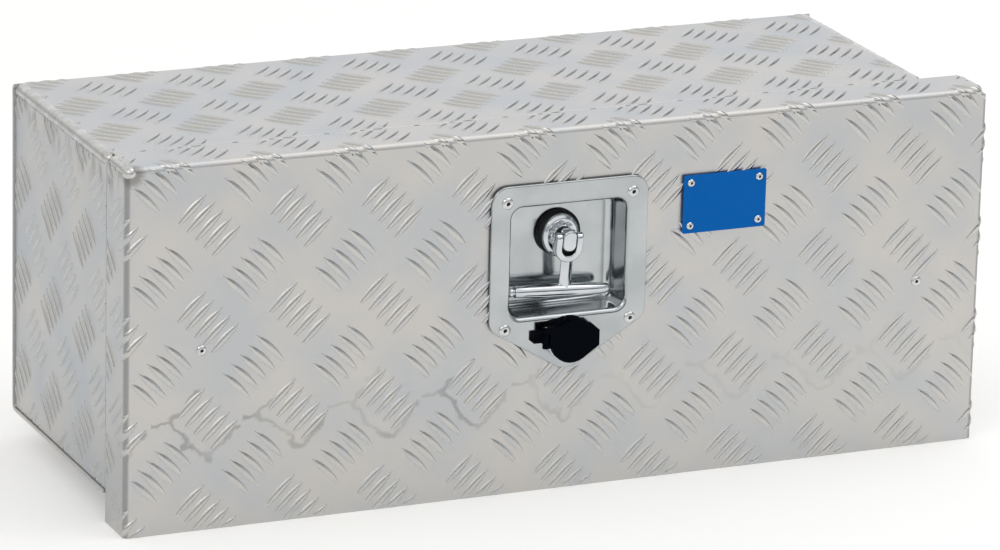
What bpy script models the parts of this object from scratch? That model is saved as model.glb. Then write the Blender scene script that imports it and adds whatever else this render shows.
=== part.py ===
"""Checker plate truck box with a fold-down door, a recessed T-handle latch and two slotted stays.

Metres, +Z up, the door faces -Y. The origin is the middle of the box that holds the whole part,
at the height of the door's bottom edge, which is the lowest edge of the part.
"""
import math

import bmesh
import bpy
from mathutils import Matrix, Vector

# Sheet metal and the gaps between neighbouring pieces
sheet = 0.0025
touch_gap = 0.0003
cut_overrun = 0.002
fold_steps = 4
small_round_steps = 8
round_steps = 12
tube_steps = 16
large_round_steps = 20
sharp_edge = math.radians(35)

# Door: a tray of checker plate, folded at the left, the top and the right
door_width = 0.640
door_height = 0.259
door_depth = 0.037
door_fold = 0.004
door_bead_radius = 0.0046
door_bead_nose_shares = ((0.55, 0.0), (0.85, 0.3), (1.0, 1.0))

# Tread pattern: groups of five raised bars, each with a long thin point at both ends. Groups that
# rise and groups that fall alternate like a chess board. A start is the middle of one rising group.
tread_rise = 0.0013
tread_root = 0.0001
tread_pitch_across = 0.0654
tread_pitch_up = 0.0679
tread_length = 0.0300
tread_width = 0.0044
tread_spacing = 0.0085
tread_angle = math.radians(45)
tread_margin = 0.0012
tread_clearance = 0.0010
tread_front_x = 0.0600
tread_front_height = 0.0095
tread_top_x = 0.0549
tread_top_depth = 0.0520
tread_end_depth = 0.0163
tread_end_height = 0.0510
bars_in_group = 5
bar_samples = 7

# Body behind the door, flush with it at the left and the top
overall_depth = 0.227
door_overhang = 0.0317
body_lift = 0.0204
door_gap = 0.0008
body_fold = 0.005
end_plate_inset = 0.0015
bead_radius = 0.0054

# Collar that stands forward from the body into the door, with its rubber seal
lip_inset = 0.007
sill_inset = 0.0096
lip_front = 0.009
seal_wall = 0.0017
seal_front = 0.0032
seal_grip = 0.008

# Hinge under the body, hidden behind the door's bottom edge
hinge_axis_height = 0.0102
knuckle_radius = 0.0045
knuckle_bore = 0.0024
hinge_pin_radius = 0.002
hinge_leaf = 0.0015
hinge_leaf_rise = 0.0165
hinge_end_margin = 0.016
knuckle_count = 9
knuckle_gap = 0.0006
rail_foot = 0.006
rail_top = 0.027
rail_web_rise = 0.0028

# Latch dish in the middle of the door: a five-sided flange round a pressed recess
latch_x = 0.0008
gasket = 0.0009
dish_sheet = 0.0017
dish_width = 0.116
dish_rise = 0.0416
dish_shoulder_drop = 0.0595
dish_apex_drop = 0.0938
dish_corner = 0.012
dish_shoulder_corner = 0.011
dish_apex_corner = 0.016
recess_width = 0.0853
recess_low_drop = 0.0523
recess_high_rise = 0.0254
recess_depth = 0.022
recess_draft = 0.0018
recess_corner = 0.008
recess_roll = 0.0016
recess_floor_round = 0.0045
recess_bend_share = 0.3
recess_clearance = 0.0012

# Spindle, hub and folding T-handle
spindle_below_top = 0.080
hub_ring_radius = 0.0162
hub_ring_thickness = 0.0058
hub_ring_front_round = 0.0019
hub_ring_back_round = 0.0010
hub_washer_radius = 0.0134
hub_washer_thickness = 0.0016
hub_nut_flats = 0.0185
hub_nut_thickness = 0.0026
hub_bore = 0.0072
hub_radius = 0.0069
tongue_width = 0.0094
tongue_height = 0.0142
tongue_reach = 0.0034
tongue_corner = 0.0031
tongue_nose_share = 0.8
tongue_nose_depth = 0.0014
fork_pin_depth = 0.0012
fork_pin_radius = 0.002
fork_pin_bore = 0.0023
fork_prong = 0.0046
fork_depth = 0.0080
fork_drop = 0.0120
fork_eye = 0.0042
stem_radius = 0.0042
bar_drop = 0.0385
bar_length = 0.0755
bar_radius = 0.00425
bar_end_shares = ((0.50, 0.0), (0.72, 0.4))
fork_side_gap = 0.0006
handle_sink = math.radians(10)
handle_turn = math.radians(3)

# Inside of the latch: collar, turning spindle, cam and its nut, and the keeper on the collar
collar_radius = 0.0115
collar_depth = 0.0056
cam_spindle_radius = 0.0058
cam_spindle_bore = 0.0064
cam_thickness = 0.004
cam_width = 0.018
cam_length = 0.064
cam_stand_off = 0.0012
cam_nut_flats = 0.0136
cam_nut_thickness = 0.005
keeper_width = 0.040
keeper_clearance = 0.0015
keeper_tongue = 0.0165

# Key lock below the recess, with its swinging cover
lock_drop = 0.0698
lock_body_radius = 0.0105
lock_body_bore = 0.0112
lock_body_reach = 0.024
bezel_radius = 0.0158
bezel_thickness = 0.0044
bezel_round = 0.0011
plug_radius = 0.0066
plug_bore = 0.0070
keyway_width = 0.0016
keyway_height = 0.0072
keyway_depth = 0.003
lock_cam_radius = 0.008
lock_cam_tip_radius = 0.004
lock_cam_length = 0.026
lock_cam_thickness = 0.002
lock_cam_gap = 0.0008
cover_radius = 0.0153
cover_thickness = 0.0046
cover_edge = 0.0006
cover_pivot_x = 0.0191
cover_barrel_radius = 0.0022
cover_pin_radius = 0.0009
cover_barrel_bore = 0.0012
cover_block_top = 0.0116
cover_block_low = 0.0036
cover_block_right = 0.0145
cover_tab_right = 0.0204
cover_tab_top = 0.0064
cover_tab_low = 0.0046
cover_eye_low = 0.0004
cover_eye_top = 0.0066
cover_foot_left = 0.0266

# Name plate, left bare, and the blind rivets
plate_x = 0.1169
plate_rise = 0.0163
plate_width = 0.0625
plate_tall = 0.0414
plate_thickness = 0.0010
plate_corner = 0.0015
plate_stand_off = 0.0016
plate_rivet_x = 0.0258
plate_rivet_z = 0.0153
dish_rivet_x = 0.0466
dish_rivet_rise = 0.0300
dish_rivet_drop = 0.0600
small_head = 0.0029
small_shank = 0.0016
large_head = 0.0040
large_shank = 0.0020
hole_clearance = 0.0003
head_rise_share = 0.45
head_profile_shares = ((0.45, 1.0), (0.85, 0.62), (1.0, 0.0))
tail_reach = 0.0022
tail_radius_share = 1.45
tail_taper_share = 0.7

# Stays: bracket riveted to the door, slotted arm, and a stud on each end plate
stay_left_inset = 0.0555
stay_right_inset = 0.0192
stay_left_height = 0.1270
stay_right_height = 0.1216
stay_ear_offset = 0.0115
stay_base_beyond = 0.0070
stay_base_height = 0.034
stay_pivot_depth = 0.016
stay_ear_radius = 0.0075
stay_pin_radius = 0.0025
stay_pin_bore = 0.0028
stay_pin_head = 0.0043
stay_pin_head_thickness = 0.0022
stay_arm_thickness = 0.0025
stay_arm_radius = 0.0075
stay_stud_radius = 0.003
stay_stud_head = 0.0051
stay_slot_gap = 0.0006
stay_stud_bearing = math.radians(60)
stay_stud_flange = 0.007
stay_stud_flange_thickness = 0.003
door_swing = math.radians(90)

# Depths of the latch pieces, measured back from the door's front face
dish_back = -(touch_gap + gasket + touch_gap)
dish_face = dish_back - dish_sheet
floor_face = dish_face + recess_depth
floor_back = floor_face + dish_sheet
bezel_face = dish_face - touch_gap - bezel_thickness
cover_face = bezel_face - touch_gap - cover_thickness
latch_proud = -cover_face

# Places of the main planes; the bars of the tread stand out from the door's edges and the body's top
door_front = (latch_proud - overall_depth) / 2
outer_left = -door_width / 2
outer_right = door_width / 2
door_left = outer_left + tread_rise
door_right = outer_right - tread_rise
door_top = door_height - tread_rise
body_left = outer_left
body_right = outer_right - door_overhang
body_front = door_front + door_depth + door_gap
body_back = door_front + overall_depth
body_bottom = body_lift
body_top = door_top
hinge_axis_y = door_front + sheet + touch_gap + knuckle_radius

# Heights of the latch and the name plate, hung from the door's top
spindle_height = door_height - spindle_below_top
dish_top = spindle_height + dish_rise
dish_shoulder = spindle_height - dish_shoulder_drop
dish_apex = spindle_height - dish_apex_drop
recess_low = spindle_height - recess_low_drop
recess_high = spindle_height + recess_high_rise
lock_height = spindle_height - lock_drop
dish_rivet_high = spindle_height + dish_rivet_rise
dish_rivet_low = spindle_height - dish_rivet_drop
plate_height = spindle_height + plate_rise

# Stay rivets, set in from the ends of the body
stay_left_x = body_left + stay_left_inset
stay_right_x = body_right - stay_right_inset


def depth(distance):
    """The Y of a point that lies a distance behind the door's front face."""
    return door_front + distance


def arc(centre, radius, start, stop, steps):
    """Points on an arc from one angle to another, both in radians."""
    return [
        (
            centre[0] + radius * math.cos(start + (stop - start) * step / steps),
            centre[1] + radius * math.sin(start + (stop - start) * step / steps),
        )
        for step in range(steps + 1)
    ]


def rounded_outline(corners, steps=fold_steps):
    """A closed outline through corners given as (u, v, radius); a radius of 0 keeps the corner sharp."""
    points = []
    count = len(corners)
    for index, (u, v, radius) in enumerate(corners):
        here = Vector((u, v))
        if radius == 0:
            points.append((u, v))
            continue
        before = Vector(corners[index - 1][:2]) - here
        after = Vector(corners[(index + 1) % count][:2]) - here
        before.normalize()
        after.normalize()
        half = before.angle(after) / 2
        middle = here + (before + after).normalized() * (radius / math.sin(half))
        first = here + before * (radius / math.tan(half)) - middle
        last = here + after * (radius / math.tan(half)) - middle
        start = math.atan2(first.y, first.x)
        sweep = math.atan2(last.y, last.x) - start
        sweep = (sweep + math.pi) % (2 * math.pi) - math.pi
        points += arc(middle, radius, start, start + sweep, steps)
    return points


def rounded_rectangle(width, height, radius, centre=(0, 0), steps=fold_steps):
    """A rectangle with round corners, as a closed outline."""
    u = width / 2
    v = height / 2
    corners = [(-u, -v), (u, -v), (u, v), (-u, v)]
    return rounded_outline([(centre[0] + a, centre[1] + b, radius) for a, b in corners], steps)


class Body:
    """One rigid body: an empty on its joint's axis that carries its pieces."""

    def __init__(self, name, pivot=(0, 0, 0), parent=None):
        self.pivot = Vector(pivot)
        self.empty = bpy.data.objects.new(name + "_axis", None)
        bpy.context.scene.collection.objects.link(self.empty)
        self.empty.location = self.pivot
        if parent:
            self.empty.parent = parent.empty
            self.empty.location = self.pivot - parent.pivot


def material(name, colour, metallic, roughness):
    """A Principled material with the piece's plain colour."""
    made = bpy.data.materials.new(name)
    made.use_nodes = True
    shader = made.node_tree.nodes["Principled BSDF"]
    shader.inputs["Base Color"].default_value = (*colour, 1)
    shader.inputs["Metallic"].default_value = metallic
    shader.inputs["Roughness"].default_value = roughness
    return made


def add_piece(name, mesh, body, finish, smooth=False, turn=None):
    """Make an object from a bmesh in world coordinates and hang it on its body."""
    if turn:
        bmesh.ops.transform(mesh, matrix=turn, verts=mesh.verts)
    bmesh.ops.recalc_face_normals(mesh, faces=mesh.faces)
    bmesh.ops.translate(mesh, vec=-body.pivot, verts=mesh.verts)
    data = bpy.data.meshes.new(name)
    mesh.to_mesh(data)
    mesh.free()
    if smooth:
        data.shade_smooth()
        data.set_sharp_from_angle(angle=sharp_edge)
    data.materials.append(finish)
    piece = bpy.data.objects.new(name, data)
    bpy.context.scene.collection.objects.link(piece)
    piece.parent = body.empty
    return piece


def add_tool(name, mesh, body, turn=None):
    """A helper solid that only cuts or widens a piece."""
    tool = add_piece(name, mesh, body, steel, turn=turn)
    tool.hide_render = True
    tool.display_type = "WIRE"
    return tool


def combine(piece, tool, operation):
    """Cut a helper solid out of a piece, or join it on."""
    step = piece.modifiers.new(tool.name, "BOOLEAN")
    step.operation = operation
    step.solver = "EXACT"
    step.object = tool


def box_mesh(low, high):
    """A box between two corners."""
    rect = (low[0], low[2], high[0], high[2])
    return stack_mesh([rect_loop(rect, low[1]), rect_loop(rect, high[1])])


def prism_mesh(outline, axis, start, stop):
    """An outline pulled along X, Y or Z. It is given in (y, z), (x, z) or (x, y)."""
    mesh = bmesh.new()

    def corner(u, v, along):
        return {"X": (along, u, v), "Y": (u, along, v), "Z": (u, v, along)}[axis]

    first = [mesh.verts.new(corner(u, v, start)) for u, v in outline]
    last = [mesh.verts.new(corner(u, v, stop)) for u, v in outline]
    mesh.faces.new(first)
    mesh.faces.new(list(reversed(last)))
    for index in range(len(outline)):
        after = (index + 1) % len(outline)
        mesh.faces.new((first[index], last[index], last[after], first[after]))
    return mesh


def stack_mesh(loops, closed=False):
    """Skin equal loops of points one after the other, with end caps or as a closed ring."""
    mesh = bmesh.new()
    rings = [[mesh.verts.new(point) for point in loop] for loop in loops]
    pairs = list(zip(rings, rings[1:]))
    if closed:
        pairs.append((rings[-1], rings[0]))
    else:
        mesh.faces.new(rings[0])
        mesh.faces.new(list(reversed(rings[-1])))
    for lower, upper in pairs:
        for index in range(len(lower)):
            after = (index + 1) % len(lower)
            mesh.faces.new((lower[index], upper[index], upper[after], lower[after]))
    return mesh


def turned_mesh(profile, centre, axis, steps=round_steps):
    """A solid of revolution. The profile is (radius, place along the axis), from one end to the other."""
    basis = {
        "X": (Vector((0, 1, 0)), Vector((0, 0, 1)), Vector((1, 0, 0))),
        "Y": (Vector((1, 0, 0)), Vector((0, 0, 1)), Vector((0, 1, 0))),
        "Z": (Vector((1, 0, 0)), Vector((0, 1, 0)), Vector((0, 0, 1))),
    }[axis]
    loops = []
    for radius, along in profile:
        loops.append([])
        for u, v in arc((0, 0), radius, 0, 2 * math.pi, steps)[:-1]:
            loops[-1].append(Vector(centre) + basis[0] * u + basis[1] * v + basis[2] * along)
    return stack_mesh(loops)


def tube_mesh(outer, inner, start, stop, centre, axis, steps=round_steps):
    """A plain tube along an axis."""
    mesh = turned_mesh([(outer, start), (outer, stop), (inner, stop), (inner, start)], centre, axis, steps)
    caps = [face for face in mesh.faces if len(face.verts) == steps]
    bmesh.ops.delete(mesh, geom=caps, context="FACES_ONLY")
    ordered = sorted(mesh.verts, key=lambda vertex: vertex.index)
    mesh.verts.index_update()
    outer_ring = ordered[:steps]
    inner_ring = ordered[-steps:]
    for index in range(steps):
        after = (index + 1) % steps
        mesh.faces.new((outer_ring[index], inner_ring[index], inner_ring[after], outer_ring[after]))
    return mesh


def hex_outline(flats, centre):
    """A hexagon by its width across flats, with a flat at the top."""
    radius = flats / math.sqrt(3)
    return [
        (centre[0] + radius * math.cos(math.pi * side / 3), centre[1] + radius * math.sin(math.pi * side / 3))
        for side in range(6)
    ]


def rod_mesh(radius, start, stop, centre, axis, steps=round_steps):
    """A plain round bar along an axis."""
    return turned_mesh([(radius, start), (radius, stop)], centre, axis, steps)


def bore(piece, body, radius, start, stop, centre, axis, steps=round_steps, label="_bore"):
    """Drill a round hole through a piece."""
    tool = add_tool(piece.name + label, rod_mesh(radius, start, stop, centre, axis, steps), body)
    combine(piece, tool, "DIFFERENCE")


def rect_loop(rect, y):
    """The corners of a rectangle (left, bottom, right, top) at one depth."""
    left, bottom, right, top = rect
    return [(left, y, bottom), (right, y, bottom), (right, y, top), (left, y, top)]


def grow(rect, amount):
    """A rectangle moved outwards by an amount on every side."""
    return (rect[0] - amount, rect[1] - amount, rect[2] + amount, rect[3] + amount)


def corner_bead_outline(left, top, radius, wall, side):
    """Section of a rounded corner weld, in (x, z). side is 1 for a left corner and -1 for a right one."""
    outer = arc((0, 0), radius, math.pi / 2, math.pi, fold_steps)
    inner = [(wall - radius, 0), (wall - radius, radius - wall), (0, radius - wall)]
    return [(left + side * (radius + u), top - radius + v) for u, v in outer + inner]


def rivet_mesh(x, z, face, grip, head, shank):
    """A blind rivet along Y: domed head in front of a face, shank through the grip, swollen tail."""
    rise = head * head_rise_share
    tail = shank * tail_radius_share
    profile = [(head * wide, face - touch_gap - rise * high) for wide, high in head_profile_shares]
    profile += [
        (shank, face - touch_gap),
        (shank, face + grip + touch_gap),
        (tail, face + grip + touch_gap),
        (tail, face + grip + tail_reach * tail_taper_share),
        (shank, face + grip + tail_reach),
    ]
    return turned_mesh(profile, (x, door_front, z), "Y", round_steps)


def clear_scene():
    """Start from an empty scene."""
    for item in list(bpy.data.objects):
        bpy.data.objects.remove(item, do_unlink=True)


clear_scene()

checker_plate = material("checker_plate", (0.62, 0.62, 0.61), 1, 0.38)
plain_aluminium = material("plain_aluminium", (0.66, 0.66, 0.65), 1, 0.32)
weld_metal = material("weld_metal", (0.55, 0.54, 0.52), 1, 0.35)
steel = material("polished_steel", (0.62, 0.64, 0.66), 1, 0.12)
chrome = material("chrome", (0.75, 0.76, 0.78), 1, 0.05)
rubber = material("black_rubber", (0.012, 0.012, 0.014), 0, 0.6)
blue_enamel = material("blue_enamel", (0.0, 0.1, 0.4), 0, 0.35)
rivet_alloy = material("rivet_alloy", (0.72, 0.72, 0.71), 1, 0.25)

hinge_axis = Vector((0, hinge_axis_y, hinge_axis_height))
spindle_axis = Vector((latch_x, door_front, spindle_height))
lock_axis = Vector((latch_x, door_front, lock_height))
fork_axis = Vector((latch_x, depth(fork_pin_depth), spindle_height))
cover_axis = Vector((latch_x - cover_pivot_x, depth(cover_face + cover_thickness / 2), lock_height))

box_body = Body("box")
door_body = Body("door", hinge_axis, box_body)
handle_body = Body("handle", fork_axis, door_body)
cam_body = Body("cam", spindle_axis, door_body)
plug_body = Body("plug", lock_axis, door_body)
cover_body = Body("cover", cover_axis, door_body)


def stay_points(height):
    """Pivot on the door and stud on the box for one stay, both as (y, z), at one radius from the hinge."""
    pivot = Vector((depth(stay_pivot_depth), height))
    axis = Vector((hinge_axis.y, hinge_axis.z))
    reach = (pivot - axis).length
    stud = axis + Vector((math.cos(stay_stud_bearing), math.sin(stay_stud_bearing))) * reach
    return pivot, stud


def bar_places(low, high, start):
    """Whole bars on a flat rectangle, from corner to corner in (u, v): middle, way along and way across.

    start is the middle of one rising group. A bar is left out where its box would leave the rectangle.
    """
    low = Vector(low)
    high = Vector(high)
    pitch = Vector((tread_pitch_across, tread_pitch_up))
    half = tread_length / 2 * max(math.cos(tread_angle), math.sin(tread_angle)) + tread_margin
    places = []
    for turn in (1, -1):
        along = Vector((math.cos(tread_angle), turn * math.sin(tread_angle)))
        across = Vector((-along.y, along.x))
        first = Vector(start) + (pitch / 2 if turn < 0 else Vector((0, 0)))
        counts = [
            range(math.floor((low[i] - first[i]) / pitch[i]) - 1, math.ceil((high[i] - first[i]) / pitch[i]) + 2)
            for i in (0, 1)
        ]
        for column in counts[0]:
            for row in counts[1]:
                group = first + Vector((column * pitch.x, row * pitch.y))
                for bar in range(bars_in_group):
                    middle = group + across * (bar - (bars_in_group - 1) / 2) * tread_spacing
                    if all(low[i] + half < middle[i] < high[i] - half for i in (0, 1)):
                        places.append((middle, along, across))
    return places


def inside_outline(spot, outline):
    """True where a point lies inside a closed outline."""
    inside = False
    for index, (u, v) in enumerate(outline):
        before_u, before_v = outline[index - 1]
        if (v > spot.y) != (before_v > spot.y):
            crossing = u + (spot.y - v) * (before_u - u) / (before_v - v)
            if spot.x < crossing:
                inside = not inside
    return inside


def bar_mesh(places, lift):
    """One long pyramid for each bar, rooted in the sheet; lift puts (u, v, height) on its face."""
    mesh = bmesh.new()
    grown = 1 + tread_root / tread_rise
    for middle, along, across in places:
        reach = along * tread_length / 2 * grown
        side = across * tread_width / 2 * grown
        waist = [mesh.verts.new(lift(*(middle + step), -tread_root)) for step in (reach, side, -reach, -side)]
        crown = mesh.verts.new(lift(*middle, tread_rise))
        root = mesh.verts.new(lift(*middle, -2 * tread_root))
        for index in range(len(waist)):
            mesh.faces.new((waist[index - 1], waist[index], crown))
            mesh.faces.new((waist[index], waist[index - 1], root))
    return mesh


def raise_bars(piece, name, body, places, lift):
    """Join a face's bars to its sheet."""
    combine(piece, add_tool(name, bar_mesh(places, lift), body), "UNION")


def build_wrap():
    """Top, back and bottom of the box: one sheet with two folds, cut back under the corner welds."""
    inner_fold = body_fold - sheet
    front = body_front
    back = body_back
    turn_y = back - body_fold
    outer = [(front, body_bottom)]
    outer += arc((turn_y, body_bottom + body_fold), body_fold, -math.pi / 2, 0, fold_steps)
    outer += arc((turn_y, body_top - body_fold), body_fold, 0, math.pi / 2, fold_steps)
    outer += [(front, body_top), (front, body_top - sheet)]
    inner = arc((turn_y, body_top - body_fold), inner_fold, math.pi / 2, 0, fold_steps)
    inner += arc((turn_y, body_bottom + body_fold), inner_fold, 0, -math.pi / 2, fold_steps)
    inner += [(front, body_bottom + sheet)]
    mesh = prism_mesh(outer + inner, "X", body_left, body_right)
    wrap = add_piece("body_wrap", mesh, box_body, checker_plate)
    notch = bead_radius + touch_gap
    for name, low_x, high_x in (
        ("left", body_left - cut_overrun, body_left + notch),
        ("right", body_right - notch, body_right + cut_overrun),
    ):
        low = (low_x, front - cut_overrun, body_top - notch)
        high = (high_x, back - body_fold, body_top + cut_overrun)
        combine(wrap, add_tool("wrap_notch_" + name, box_mesh(low, high), box_body), "DIFFERENCE")
    start = (outer_left + tread_top_x, depth(tread_top_depth))
    places = bar_places((body_left + notch, front), (body_right - notch, turn_y), start)
    raise_bars(wrap, "wrap_bars", box_body, places, lambda u, v, h: (u, v, body_top + h))


def build_end_plates():
    """Two checker plates set into the ends of the wrap."""
    low_y = body_front
    high_y = body_back - sheet - touch_gap
    low_z = body_bottom + sheet + touch_gap
    high_z = body_top - bead_radius - touch_gap
    corner = body_fold - sheet
    corners = [(low_y, low_z, 0), (high_y, low_z, corner), (high_y, high_z, 0), (low_y, high_z, 0)]
    outline = rounded_outline(corners)
    places = bar_places((low_y, low_z), (high_y, high_z), (depth(tread_end_depth), tread_end_height))
    for side, face, outward in (
        ("left", body_left + end_plate_inset, -1),
        ("right", body_right - end_plate_inset, 1),
    ):
        inner = face - outward * sheet
        mesh = prism_mesh(outline, "X", min(face, inner), max(face, inner))
        plate = add_piece("end_plate_" + side, mesh, box_body, checker_plate)
        raise_bars(plate, "end_bars_" + side, box_body, places,
                   lambda u, v, h, face=face, outward=outward: (face + outward * h, u, v))


def build_body_beads():
    """Round corner welds along the two top edges of the body."""
    for side, edge, sign in (("left", body_left, 1), ("right", body_right, -1)):
        outline = corner_bead_outline(edge, body_top, bead_radius, sheet, sign)
        bead = prism_mesh(outline, "Y", body_front, body_back - body_fold - touch_gap)
        add_piece("weld_bead_" + side, bead, box_body, weld_metal, smooth=True)


def collar_rect():
    """Outer rectangle of the collar's lip."""
    return (
        body_left + lip_inset,
        body_bottom + sill_inset,
        body_right - lip_inset,
        body_top - lip_inset,
    )


def build_collar():
    """The collar round the opening: a web inside the skin and a lip that stands forward, as one ring."""
    skin = end_plate_inset + sheet + touch_gap
    floor = sheet + touch_gap
    web = (body_left + skin, body_bottom + floor, body_right - skin, body_top - bead_radius - touch_gap)
    lip = collar_rect()
    inside = grow(lip, -sheet)
    web_front = body_front
    web_back = body_front + sheet
    loops = [
        rect_loop(web, web_back),
        rect_loop(web, web_front),
        rect_loop(lip, web_front),
        rect_loop(lip, depth(lip_front)),
        rect_loop(inside, depth(lip_front)),
        rect_loop(inside, web_back),
    ]
    add_piece("front_collar", stack_mesh(loops, closed=True), box_body, plain_aluminium)


def build_seal():
    """Rubber edge seal that grips the collar's lip and faces the door."""
    lip = collar_rect()
    slot_outer = grow(lip, touch_gap)
    slot_inner = grow(lip, -sheet - touch_gap)
    outer = grow(slot_outer, seal_wall)
    inner = grow(slot_inner, -seal_wall)
    back = depth(lip_front + seal_grip)
    root = depth(lip_front) - touch_gap
    front = depth(seal_front)
    loops = [
        rect_loop(outer, back),
        rect_loop(outer, front),
        rect_loop(inner, front),
        rect_loop(inner, back),
        rect_loop(slot_inner, back),
        rect_loop(slot_inner, root),
        rect_loop(slot_outer, root),
        rect_loop(slot_outer, back),
    ]
    add_piece("frame_seal", stack_mesh(loops, closed=True), box_body, rubber)


def hinge_span():
    """The two ends of the hinge along X."""
    return body_left + hinge_end_margin, body_right - hinge_end_margin


def build_hinge_rail():
    """Aluminium section in front of the body that carries the hinge's fixed leaf, with a web to the collar."""
    front = hinge_axis_y + knuckle_radius + touch_gap
    back = front + sheet
    web_low = body_bottom + rail_web_rise
    web_high = web_low + sheet
    web_end = body_front - touch_gap
    outline = [
        (front, rail_foot),
        (back, rail_foot),
        (back, web_low),
        (web_end, web_low),
        (web_end, web_high),
        (back, web_high),
        (back, rail_top),
        (front, rail_top),
    ]
    start, stop = hinge_span()
    add_piece("hinge_rail", prism_mesh(outline, "X", start, stop), box_body, plain_aluminium)


def build_hinge_leaf(name, body, side, remainder):
    """One hinge leaf. side is -1 for the door's leaf and 1 for the box's; every second knuckle is its own."""
    start, stop = hinge_span()
    pitch = (stop - start) / knuckle_count
    outer = hinge_axis_y + side * knuckle_radius
    inner = outer - side * hinge_leaf
    low_y, high_y = min(outer, inner), max(outer, inner)
    clear = hinge_axis_height + knuckle_radius + touch_gap
    top = hinge_axis_height + hinge_leaf_rise
    mesh = box_mesh((start, low_y, clear), (stop, high_y, top))
    leaf = add_piece(name, mesh, body, plain_aluminium, smooth=True)
    for index in range(knuckle_count):
        if index % 2 != remainder:
            continue
        low_x = start + pitch * index + knuckle_gap / 2
        high_x = start + pitch * (index + 1) - knuckle_gap / 2
        strap = box_mesh((low_x, low_y, hinge_axis_height), (high_x, high_y, clear + cut_overrun))
        tube = tube_mesh(knuckle_radius, knuckle_bore, low_x, high_x, (0, hinge_axis.y, hinge_axis.z), "X")
        combine(leaf, add_tool(f"{name}_strap_{index}", strap, body), "UNION")
        combine(leaf, add_tool(f"{name}_knuckle_{index}", tube, body), "UNION")


def build_hinge():
    """Long hinge: the box's leaf with the outer knuckles, the door's leaf, and the pin."""
    build_hinge_leaf("hinge_leaf_body", box_body, 1, 0)
    build_hinge_leaf("hinge_leaf_door", door_body, -1, 1)
    start, stop = hinge_span()
    pin = rod_mesh(hinge_pin_radius, start, stop, (0, hinge_axis.y, hinge_axis.z), "X")
    add_piece("hinge_pin", pin, box_body, steel, smooth=True)


def build_keeper():
    """Keeper under the collar's top lip; the cam turns up behind its tongue."""
    under = body_top - lip_inset - sheet - touch_gap
    tongue_back = depth(cam_front() - keeper_clearance)
    tongue_front = tongue_back - sheet
    foot_back = body_front + sheet
    outline = [
        (tongue_front, under),
        (tongue_front, under - sheet - keeper_tongue),
        (tongue_back, under - sheet - keeper_tongue),
        (tongue_back, under - sheet),
        (foot_back, under - sheet),
        (foot_back, under),
    ]
    left = latch_x - keeper_width / 2
    keeper = prism_mesh(outline, "X", left, left + keeper_width)
    add_piece("latch_keeper", keeper, box_body, steel)


def build_door_panel():
    """The door's tray: a box rounded at three front edges, less its inside, with the holes for the fittings."""
    front = door_front
    back = door_front + door_depth
    steps = fold_steps

    def tray(left, right, top, bottom, face, radius, rear):
        """A block with its left, right and top front edges rounded, as stacked loops going back."""
        loops = []
        for step in range(steps + 1):
            angle = math.pi / 2 * step / steps
            inset = radius * (1 - math.sin(angle))
            y = face + radius * (1 - math.cos(angle))
            loops.append(rect_loop((left + inset, bottom, right - inset, top - inset), y))
        loops.append(rect_loop((left, bottom, right, top), rear))
        return stack_mesh(loops)

    panel_mesh = tray(door_left, door_right, door_top, 0, front, door_fold, back)
    panel = add_piece("door_panel", panel_mesh, door_body, checker_plate)
    inner_mesh = tray(
        door_left + sheet,
        door_right - sheet,
        door_top - sheet,
        -cut_overrun,
        front + sheet,
        door_fold - sheet,
        back + cut_overrun,
    )
    combine(panel, add_tool("door_inside", inner_mesh, door_body), "DIFFERENCE")
    notch = door_bead_radius + touch_gap
    for name, low_x, high_x in (
        ("left", door_left - cut_overrun, door_left + notch),
        ("right", door_right - notch, door_right + cut_overrun),
    ):
        low = (low_x, front - cut_overrun, door_top - notch)
        high = (high_x, back + cut_overrun, door_top + cut_overrun)
        combine(panel, add_tool("door_notch_" + name, box_mesh(low, high), door_body), "DIFFERENCE")
    low = (latch_x - recess_width / 2 - dish_sheet - recess_clearance, front - cut_overrun,
           recess_low - dish_sheet - recess_clearance)
    high = (latch_x + recess_width / 2 + dish_sheet + recess_clearance, front + sheet + cut_overrun,
            recess_high + dish_sheet + recess_clearance)
    combine(panel, add_tool("door_dish_hole", box_mesh(low, high), door_body), "DIFFERENCE")
    bore(panel, door_body, lock_body_bore, -cut_overrun, sheet + cut_overrun, lock_axis, "Y")
    for name, x, z, shank in rivet_places():
        bore(panel, door_body, shank + hole_clearance, -cut_overrun, sheet + cut_overrun, (x, front, z), "Y",
             small_round_steps, "_hole_" + name)
    raise_door_bars(panel)


def door_bar_is_clear(middle, along):
    """True for a bar that keeps clear of the dish, the name plate and the stays' rivets."""
    plate = Vector((plate_x, plate_height))
    plate_half = Vector((plate_width, plate_tall)) / 2 + Vector((tread_clearance, tread_clearance))
    dish = dish_outline(-tread_clearance)
    rivet = large_head + tread_width / 2 + tread_clearance
    rivets = [Vector((stay_left_x, stay_left_height)), Vector((stay_right_x, stay_right_height))]
    for step in range(bar_samples):
        spot = middle + along * tread_length * (step / (bar_samples - 1) - 0.5)
        if inside_outline(spot, dish):
            return False
        if all(abs(spot[i] - plate[i]) < plate_half[i] for i in (0, 1)):
            return False
        if any((spot - place).length < rivet for place in rivets):
            return False
    return True


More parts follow.
